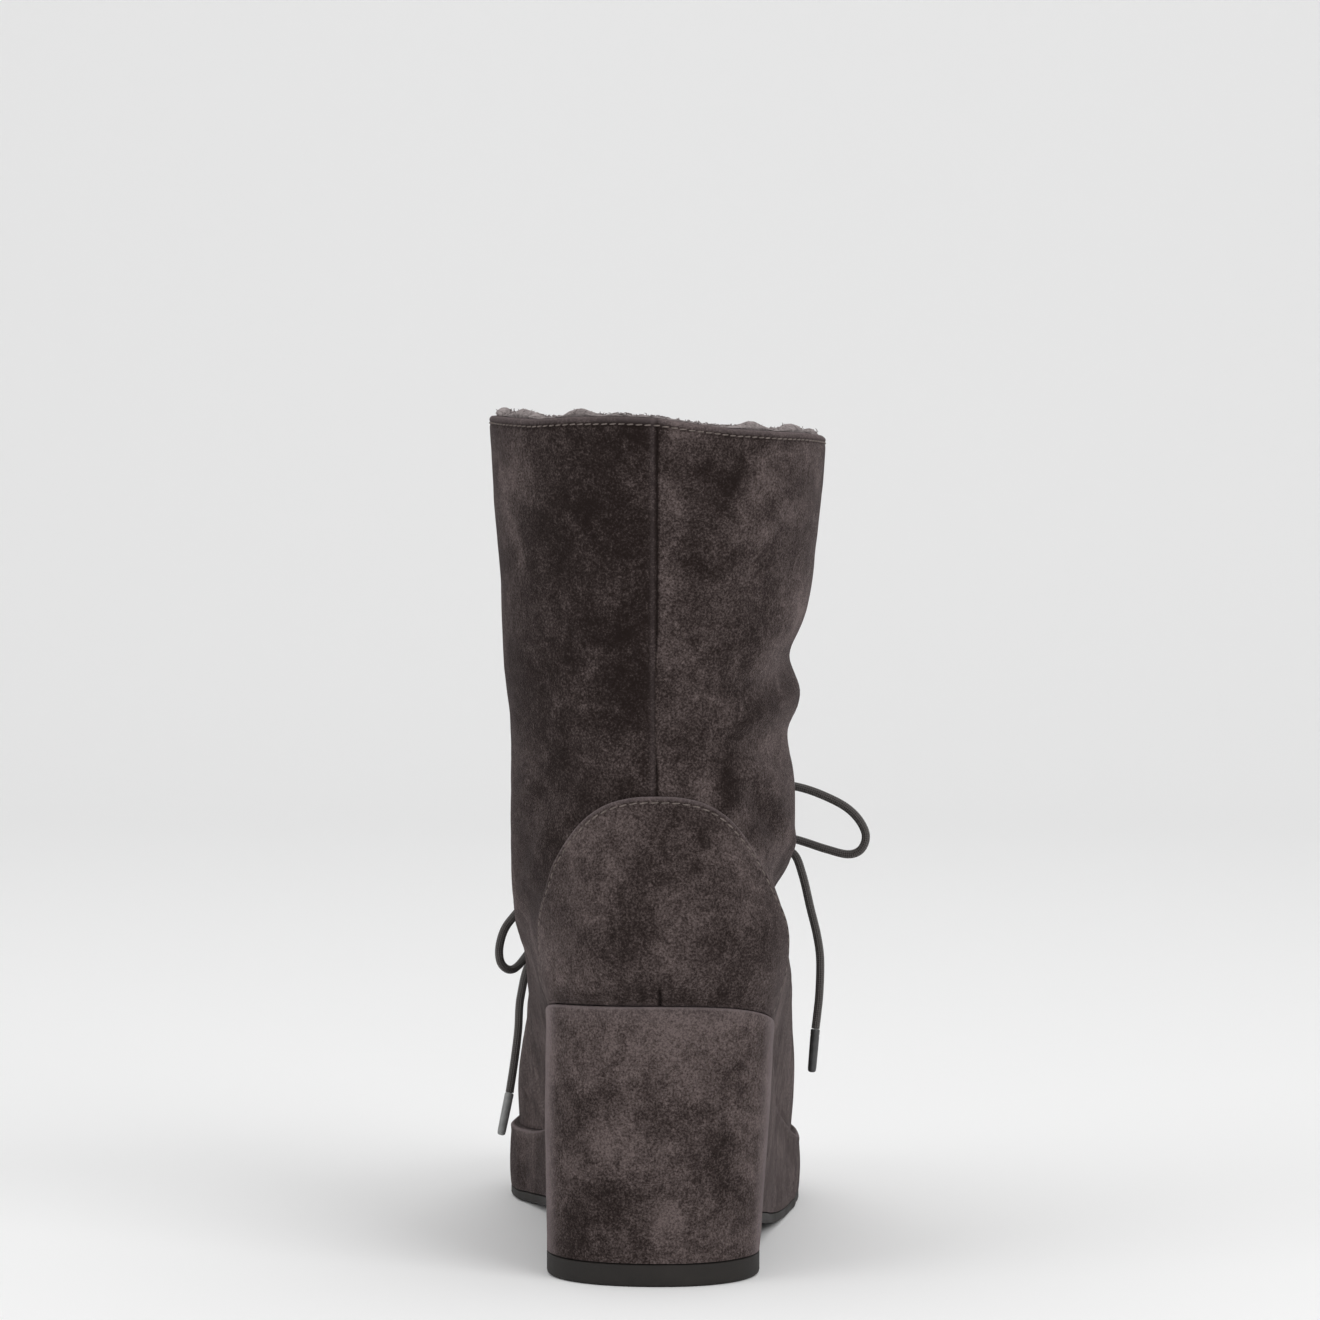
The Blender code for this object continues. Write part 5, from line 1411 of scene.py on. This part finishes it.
# Where locks of wool stand over the collar: distance round from the back seam and half width
RIM_LOCKS = (
    (-0.059, 0.009), (-0.029, 0.0052), (0.036, 0.006), (0.060, 0.008), (-0.095, 0.008), (0.100, 0.010),
    (-0.130, 0.009), (0.135, 0.007), (0.160, 0.008), (-0.165, 0.008),
)


def rim_rise(rim, round_back, rise):
    """How far the fleece stands over the collar."""
    value = np.zeros(len(rim))
    for place, half in RIM_LOCKS:
        value = np.maximum(value, np.exp(-(((round_back - place) / half) ** 2)))
    return rise * (0.12 + 0.95 * value + 0.16 * rough(rim, 0.004, 13))


def wool_locks(sizes):
    """Short curled locks over the rim and down the lining's upper part."""
    random = np.random.default_rng(7)
    for kind, count, low in (("rim", 900, 1.0), ("inside", 3600, 0.78)):
        at_rim = kind == "rim"
        levels = np.full(count, 1.0) if at_rim else low + (0.995 - low) * random.random(count) ** 0.8
        share = random.uniform(-1, 1, count)
        runs = np.where(share > 0, share * side_length(levels, 1), share * side_length(levels, -1))
        deep = sizes.pile_thickness * (random.uniform(0.05, 1.0, count) if at_rim else np.ones(count))
        base, normals = skin(levels, runs), skin_normals(levels, runs)
        starts = base - normals * (UPPER_WALL + deep)[:, None]
        clumps = np.ones(count)
        if at_rim:
            clumps = rim_rise(base, distance_round(1.0, runs), 1.0) * 0.55 + 0.12
            starts = starts + collar_wave(base)
        up = np.array([0.0, 0.0, 1.0])
        for start, normal, clump in zip(starts, normals, clumps):
            lean = random.normal(0.0, 0.5, 3)
            ahead = up * 1.1 + lean - normal * 0.15 if at_rim else up * 0.1 + lean - normal * 0.9
            length = sizes.wool_length * clump * random.uniform(0.5, 1.1 if at_rim else 0.9)
            ahead /= np.linalg.norm(ahead)
            curl = np.cross(ahead, random.normal(0.0, 1.0, 3))
            curl /= np.linalg.norm(curl)
            other = np.cross(ahead, curl)
            phase = random.uniform(0, 6.28)
            line = []
            for t in np.linspace(0.0, 1.0, 6):
                swirl = 0.0007 * t * (math.cos(phase + 5 * t) * curl + math.sin(phase + 5 * t) * other)
                line.append(start + ahead * length * t + swirl - up * 0.0012 * t * t * (not at_rim))
            yield tube_parts(line, [0.00026, 0.00028, 0.00026, 0.00022, 0.00016, 0.00008], sides=3)


class BOOT_OT_facings(bpy.types.Operator):
    """Build both facings, their stitches and the eyelets"""

    bl_idname = "boot.facings"
    bl_label = "Facings and eyelets"

    def execute(self, context):
        sizes = context.scene.boot_sizes
        first, last = THROAT_LEVELS[0] + FACING_STOP, THROAT_LEVELS[1] - FACING_STOP
        edge = np.array([0.0, 0.0002, 0.0005, 0.0009, 0.0014])
        cross = np.concatenate([edge, np.linspace(0.0026, FACING_WIDTH - 0.0026, 9), FACING_WIDTH - edge[::-1]])
        path = front_path(np.linspace(first, last, 61))
        long = path[-1]
        places = np.concatenate([edge, np.linspace(0.0026, long - 0.0026, 40), long - edge[::-1]])
        levels = np.interp(places, path, np.linspace(first, last, 61))
        for side, word in ((-1, "medial"), (1, "lateral")):
            outer, inner, wear_and_sheen = [], [], []
            for level, up in zip(levels, places):
                runs = side * (throat_half_width(level) + FACING_MARGIN + cross)
                border = np.minimum(np.minimum(cross, FACING_WIDTH - cross), min(up, long - up))
                over = np.sqrt(np.maximum(0.0, 1 - np.maximum(0.0, 1 - border / 0.0009) ** 2))
                offsets = FACING_CLEARANCE + FACING_THICKNESS * (0.35 + 0.65 * over)
                offsets -= 0.00025 * np.exp(-(((border - 0.0020) / 0.0006) ** 2))
                outer.append(over_skin(level, runs, offsets))
                inner.append(over_skin(level, runs, np.full(len(runs), FACING_CLEARANCE * 0.4)))
                wear_and_sheen.append(0.55 * np.clip(1 - border / 0.0014, 0, 1))
            columns = len(cross)
            vertices, faces = shell(np.array(outer), np.array(inner), lambda r, c: c < columns - 1)
            wear_and_sheen = np.concatenate(wear_and_sheen)
            piece = add_piece(
                f"facing_{word}_suede", vertices, faces, "suede", [f"facing_{word}"], 70,
                {"tone": np.full(len(vertices), TONE_VAMP), "wear_and_sheen": np.concatenate([wear_and_sheen, 0 * wear_and_sheen])},
            )
            pierce(piece)
            inset = 0.0020
            corner = [(inset, inset), (FACING_WIDTH - inset, inset), (FACING_WIDTH - inset, long - inset),
                      (inset, long - inset)]
            line = []
            for k in range(4):
                a, b = np.array(corner[k]), np.array(corner[(k + 1) % 4])
                line += [a + (b - a) * t for t in np.linspace(0, 1, 40, endpoint=False)]
            row, up_row = [], []
            for across, up in line + line[:1]:
                level = float(np.interp(up, path, np.linspace(first, last, 61)))
                run = side * (throat_half_width(level) + FACING_MARGIN + across)
                lift = FACING_CLEARANCE + FACING_THICKNESS - 0.0002
                row.append(over_skin(level, run, lift))
                up_row.append(skin_normals(level, run))
            vertices, faces, _ = stitches(np.array(row), np.array(up_row), 0.0030, sizes.thread_radius)
            add_piece(f"facing_{word}_stitches", vertices, faces, "thread")
        for index, level in enumerate(eyelet_levels()):
            for side, word in ((-1, "medial"), (1, "lateral")):
                make_eyelet(f"eyelet_{word}_{index + 1}", level, facing_run(level, 0.5, side))
        return {"FINISHED"}


def make_eyelet(node, level, run):
    """A rolled eyelet: a round flange over the facing and a barrel through the wall."""
    seat, top = eyelet_seat(), EYELET_FLANGE_THICKNESS
    bottom = CLEARANCE - seat - UPPER_WALL
    middle = (EYELET_HOLE_RADIUS + EYELET_FLANGE_RADIUS) / 2
    half = (EYELET_FLANGE_RADIUS - EYELET_HOLE_RADIUS) / 2
    profile = [(EYELET_HOLE_RADIUS, bottom), (EYELET_HOLE_RADIUS, 0.0)]
    for turn in np.linspace(math.pi, 0.0, 9)[1:-1]:
        profile.append((middle + half * math.cos(turn), top * 1.25 * math.sin(turn)))
    profile += [(EYELET_FLANGE_RADIUS, 0.0), (EYELET_BARREL_RADIUS + 0.0002, -0.0001),
                (EYELET_BARREL_RADIUS, -0.0004), (EYELET_BARREL_RADIUS, bottom)]
    steps, count = 32, len(profile)
    turn = Vector(map(float, skin_normals(level, run))).to_track_quat("Z", "Y").to_matrix()
    at = over_skin(level, run, seat)
    vertices = []
    for k in range(steps):
        angle = 2 * math.pi * k / steps
        for r, h in profile:
            vertices.append(at + np.array(turn @ Vector((r * math.cos(angle), r * math.sin(angle), h))))
    faces = []
    for k in range(steps):
        j = (k + 1) % steps
        for i in range(count):
            n = (i + 1) % count
            faces.append((k * count + i, j * count + i, j * count + n, k * count + n))
    add_piece(f"{node}_rolled", vertices, faces, "metal", [node], 50)


class BOOT_OT_tongue(bpy.types.Operator):
    """Build the padded tongue"""

    bl_idname = "boot.tongue"
    bl_label = "Tongue"

    def execute(self, context):
        first, last = THROAT_LEVELS[0] - TONGUE_BELOW, THROAT_LEVELS[1] + TONGUE_ABOVE
        outer, inner, wear_and_sheen = [], [], []
        for s in np.linspace(0.0, 1.0, 56):
            level = first + (last - first) * s
            ends = math.sqrt(max(0.0, 1 - (2 * s - 1) ** 8))
            across = np.linspace(-1.0, 1.0, 37)
            pad = np.sqrt(np.clip(1 - np.abs(across) ** 6, 0, 1)) * ends
            runs = TONGUE_WIDTH / 2 * across
            top = UPPER_WALL + CLEARANCE + TONGUE_THICKNESS * 0.42 * (1 - pad)
            bottom = UPPER_WALL + CLEARANCE + TONGUE_THICKNESS * (1 - 0.42 * (1 - pad))
            base = skin(level, runs)
            top = top + 0.00025 * (1 + rough(base, 0.012, 15)) * pad
            outer.append(over_skin(level, runs, -top))
            inner.append(over_skin(level, runs, -bottom))
            wear_and_sheen.append(0.2 * (1 - pad))
        vertices, faces = shell(np.array(outer), np.array(inner), lambda r, c: c < 36)
        wear_and_sheen = np.concatenate(wear_and_sheen)
        piece = add_piece(
            "tongue_suede", vertices, faces, "suede", ["tongue"], 80,
            {"tone": np.full(len(vertices), TONE_VAMP - 0.15), "wear_and_sheen": np.concatenate([wear_and_sheen, wear_and_sheen])},
        )
        return {"FINISHED"}


def knot_centre():
    return over_skin(KNOT_LEVEL, 0.0, KNOT_LIFT) - np.array([KNOT_ASIDE, 0.0, 0.0])


def laid(route):
    """A route's points, or its one point, in their place beside the knot."""
    return knot_centre() + SHAFT_WIDTH * np.array(route)


def beside_knot(point):
    """Where a lace from this point meets the knot."""
    knot = knot_centre()
    toward = np.array(point) - knot
    share = 1 / np.linalg.norm(toward / np.array(KNOT_HALF_SIZES))
    return knot + toward * (share + KNOT_CLEARANCE / np.linalg.norm(toward))


def crossing_routes():
    """The lace's way over the throat: out from under one facing's edge and down through the eyelet
    across from it, with the first bar straight over."""
    levels = eyelet_levels()
    flat = eyelet_seat() + EYELET_FLANGE_THICKNESS + LACE_DIAMETER / 2
    on_facing = FACING_CLEARANCE + FACING_THICKNESS + LACE_DIAMETER / 2
    hole = [abs(facing_run(v, 0.5, 1)) for v in levels]
    down = [(0.0, -0.0026), (0.0, 0.0012), (-0.0012, flat * 0.80), (-0.0034, flat)]
    first = [over_skin(levels[0], hole[0] + a, h) for a, h in down]
    first += [over_skin(levels[0], throat_half_width(levels[0]), on_facing)]
    first += [over_skin(levels[0], 0.0, on_facing * 0.75)]
    first += [over_skin(levels[0], -throat_half_width(levels[0]), on_facing)]
    first += [over_skin(levels[0], -hole[0] - a, h) for a, h in down[::-1]]
    routes = [first]
    for k, (low, high) in enumerate(zip(levels, levels[1:])):
        for side, over in ((-1, 0.0), (1, LACE_DIAMETER)):
            gap = throat_half_width(low)
            step = (high - low) / 6
            points = [
                over_skin(low + step * 0.6, side * (gap + 0.0040), -0.0030),
                over_skin(low + step * 0.9, side * (gap + 0.0002), -0.0024),
                over_skin(low + step * 1.4, side * (gap - 0.0030), -0.0006 + over * 0.3),
                over_skin(low + step * 2.7, 0.0, 0.0012 + over),
                over_skin(low + step * 4.2, -side * (gap + 0.0015), on_facing + over * 0.15),
                over_skin(high - step * 0.7, -side * (hole[k + 1] - 0.0030), flat),
            ]
            points += [over_skin(high, -side * (hole[k + 1] + a), h) for a, h in down[2:0:-1]]
            points += [over_skin(high, -side * hole[k + 1], down[0][1])]
            routes.append(points)
    top = levels[-1]
    gap = throat_half_width(top)
    for side in (-1, 1):
        tucked = [
            over_skin(top + 0.004, side * (gap + 0.0040), -0.0030),
            over_skin(top + 0.002, side * (gap + 0.0002), -0.0022),
            over_skin(top, side * (gap - 0.0030), 0.0016),
        ]
        routes.append(tucked + [knot_centre() + np.array([side * 0.0020, -0.0012, -0.0004])])
    return routes


def knot_path():
    """A lace tied over and under itself, with the knot's own half sizes."""
    turn = np.linspace(0.0, 2 * math.pi, 121)[:-1]
    shape = np.stack([
        np.sin(turn) + 2 * np.sin(2 * turn), -np.sin(3 * turn), np.cos(turn) - 2 * np.cos(2 * turn),
    ], axis=1)
    reach = np.abs(shape).max(axis=0)
    room = np.array(KNOT_HALF_SIZES) - np.array([0.55, 0.62, 0.55]) * LACE_DIAMETER / 2
    return knot_centre() + shape / reach * room


class BOOT_OT_lace(bpy.types.Operator):
    """Build the laced crossings, the knot and the bow's loops and ends"""

    bl_idname = "boot.lace"
    bl_label = "Lace"

    def execute(self, context):
        radius = LACE_DIAMETER / 2
        parts = [tube_parts(through(route, 0.0007), radius, 14) for route in crossing_routes()]
        vertices, faces, uv = joined(parts)
        add_piece("lace_crossings", vertices, faces, "lace", ["lace_bars"], 60, uv=uv)
        vertices, faces, uv = tube_parts(knot_path(), radius * 0.96, 14, closed=True)
        knot = add_piece("lace_knot_tied", vertices, faces, "lace", ["lace_knot"], 60, uv=uv)
        for name, loop in (("lateral", LATERAL_LOOP), ("medial", MEDIAL_LOOP)):
            points = laid(loop)
            route = through([beside_knot(points[0]), *points[1:-1], beside_knot(points[-1])], 0.0008)
            cord_piece(f"lace_loop_{name}_cord", route, f"lace_loop_{name}")
        for name, end, tip, tint in (
            ("lateral", LATERAL_END, LATERAL_TIP, "aglet_dark"),
            ("medial", MEDIAL_END, MEDIAL_TIP, "aglet_clear"),
        ):
            points = laid(end)
            route = through([beside_knot(points[0]), *points[1:]], 0.0008)
            aglet = make_aglet(name, points[-1], laid(tip), tint)
            cord_piece(f"lace_end_{name}_cord", route, f"lace_end_{name}")
        return {"FINISHED"}


def cord_piece(name, route, node):
    vertices, faces, uv = tube_parts(route, LACE_DIAMETER / 2, 14)
    piece = add_piece(name, vertices, faces, "lace", [node], 60, uv=uv)


def make_aglet(name, last, tip, tint):
    """A wound plastic tip with a turned-in end and a pinched collar."""
    ahead = (tip - last) / np.linalg.norm(tip - last)
    start = last + ahead * CLEARANCE
    profile = (
        (0.0000, 0.86), (0.0002, 0.97), (0.0006, 1.0), (0.0016, 1.0), (0.0020, 0.96), (0.0026, 0.99),
        (0.0075, 0.97), (0.0130, 0.93), (0.0140, 0.86), (0.0143, 0.72), (AGLET_LENGTH, 0.50),
    )
    line = [start + ahead * at for at, _ in profile]
    radii = [AGLET_DIAMETER / 2 * r for _, r in profile]
    vertices, faces, _ = tube_parts(line, radii, 24)
    return add_piece(f"aglet_{name}_wound", vertices, faces, tint, [f"aglet_{name}"], 40)


class BOOT_OT_collar(bpy.types.Operator):
    """Sew the collar's row of stitches"""

    bl_idname = "boot.collar"
    bl_label = "Collar stitches"

    def execute(self, context):
        sizes = context.scene.boot_sizes
        top = skin(1.0, side_length(1.0, 1))[2]
        level = float(level_at_back(top - sizes.collar_stitch_inset))
        around = np.concatenate([np.linspace(0.0, 1.0, 260), -np.linspace(0.0, 1.0, 260)[-2::-1]])
        runs = np.where(around >= 0, around * side_length(level, 1), around * side_length(level, -1))
        base, normals = skin(level, runs), skin_normals(level, runs)
        lift = relief(base, distance_round(level, runs)) - 0.00020
        path = base + collar_wave(base) + lift[:, None] * normals
        vertices, faces, _ = stitches(path, normals, sizes.collar_stitch_pitch, sizes.thread_radius)
        add_piece("collar_stitches", vertices, faces, "thread")
        return {"FINISHED"}


def area_light(name, place, target, size, power):
    lamp = bpy.data.lights.new(name, "AREA")
    lamp.shape = "RECTANGLE"
    lamp.size, lamp.size_y = size
    lamp.energy = power
    light = bpy.data.objects.new(name, lamp)
    light.location = place
    light.rotation_euler = (Vector(target) - Vector(place)).to_track_quat("-Z", "Y").to_euler()
    bpy.context.scene.collection.objects.link(light)


class BOOT_OT_stage(bpy.types.Operator):
    """Set up the pale floor, the soft light and the camera"""

    bl_idname = "boot.stage"
    bl_label = "Stage"

    def execute(self, context):
        scene = context.scene
        profile = [(-9.0, 0.0), (1.6, 0.0)]
        profile += [(1.6 + 0.9 * math.sin(t), 0.9 * (1 - math.cos(t))) for t in np.linspace(0, math.pi / 2, 25)[1:]]
        profile += [(2.5, 3.0)]
        vertices, faces = [], []
        for y, z in profile:
            vertices += [(-9.0, y, z), (9.0, y, z)]
        for i in range(len(profile) - 1):
            faces.append((2 * i, 2 * i + 1, 2 * i + 3, 2 * i + 2))
        mesh = bpy.data.meshes.new("studio_floor")
        mesh.from_pydata(vertices, [], faces)
        mesh.shade_smooth()
        mesh.materials.append(material_of("paper"))
        floor = bpy.data.objects.new("studio_floor", mesh)
        scene.collection.objects.link(floor)
        world = bpy.data.worlds.new("studio_air")
        world.use_nodes = True
        tree = world.node_tree
        tree.nodes.clear()
        seen = add(tree, "ShaderNodeLightPath").outputs["Is Camera Ray"]
        soft = add(tree, "ShaderNodeBackground", {"Color": (1.0, 1.0, 1.0, 1.0), "Strength": 0.52})
        pale = add(tree, "ShaderNodeBackground", {"Color": (1.0, 1.0, 1.0, 1.0), "Strength": 0.83})
        both = add(tree, "ShaderNodeMixShader", {0: seen, 1: soft.outputs[0], 2: pale.outputs[0]})
        add(tree, "ShaderNodeOutputWorld", {"Surface": both.outputs[0]})
        scene.world = world
        area_light("key", (1.5, -1.7, 1.7), (0.0, 0.0, 0.12), (1.6, 1.6), 26.0)
        area_light("fill", (-1.9, -1.2, 1.1), (0.0, 0.0, 0.12), (1.6, 1.6), 12.0)
        area_light("top", (0.0, 0.3, 2.2), (0.0, 0.1, 0.1), (2.4, 2.4), 14.0)
        scene.view_settings.view_transform = "Standard"
        camera = bpy.data.cameras.new("camera")
        camera.lens = CAMERA_LENS
        camera.sensor_width = 36.0
        camera.clip_start, camera.clip_end = 0.05, 20.0
        viewer = bpy.data.objects.new("camera", camera)
        viewer.location = CAMERA_PLACE
        viewer.rotation_euler = (math.radians(90 - CAMERA_PITCH), 0.0, 0.0)
        scene.collection.objects.link(viewer)
        scene.camera = viewer
        return {"FINISHED"}


class BOOT_PT_build(bpy.types.Panel):
    """Boot pieces in the sidebar"""

    bl_idname = "BOOT_PT_build"
    bl_label = "Wedge boot"
    bl_space_type = "VIEW_3D"
    bl_region_type = "UI"
    bl_category = "Boot"

    def draw(self, context):
        for operator in OPERATORS:
            self.layout.operator(operator.bl_idname)
        for group in (context.scene.boot_sizes, context.scene.boot_colours):
            for name in group.__annotations__:
                self.layout.prop(group, name)


OPERATORS = (
    BOOT_OT_stage, BOOT_OT_lace, BOOT_OT_upper, BOOT_OT_counter, BOOT_OT_sole, BOOT_OT_lining,
    BOOT_OT_facings, BOOT_OT_tongue, BOOT_OT_collar,
)


def register():
    for kind in (BootSizes, BootColours, *OPERATORS, BOOT_PT_build):
        bpy.utils.register_class(kind)
    bpy.types.Scene.boot_sizes = bpy.props.PointerProperty(type=BootSizes)
    bpy.types.Scene.boot_colours = bpy.props.PointerProperty(type=BootColours)


def unregister():
    del bpy.types.Scene.boot_sizes
    del bpy.types.Scene.boot_colours
    for kind in reversed((BootSizes, BootColours, *OPERATORS, BOOT_PT_build)):
        bpy.utils.unregister_class(kind)


def main():
    register()
    for operator in OPERATORS:
        group, name = operator.bl_idname.split(".")
        getattr(getattr(bpy.ops, group), name)()


if __name__ == "__main__":
    main()
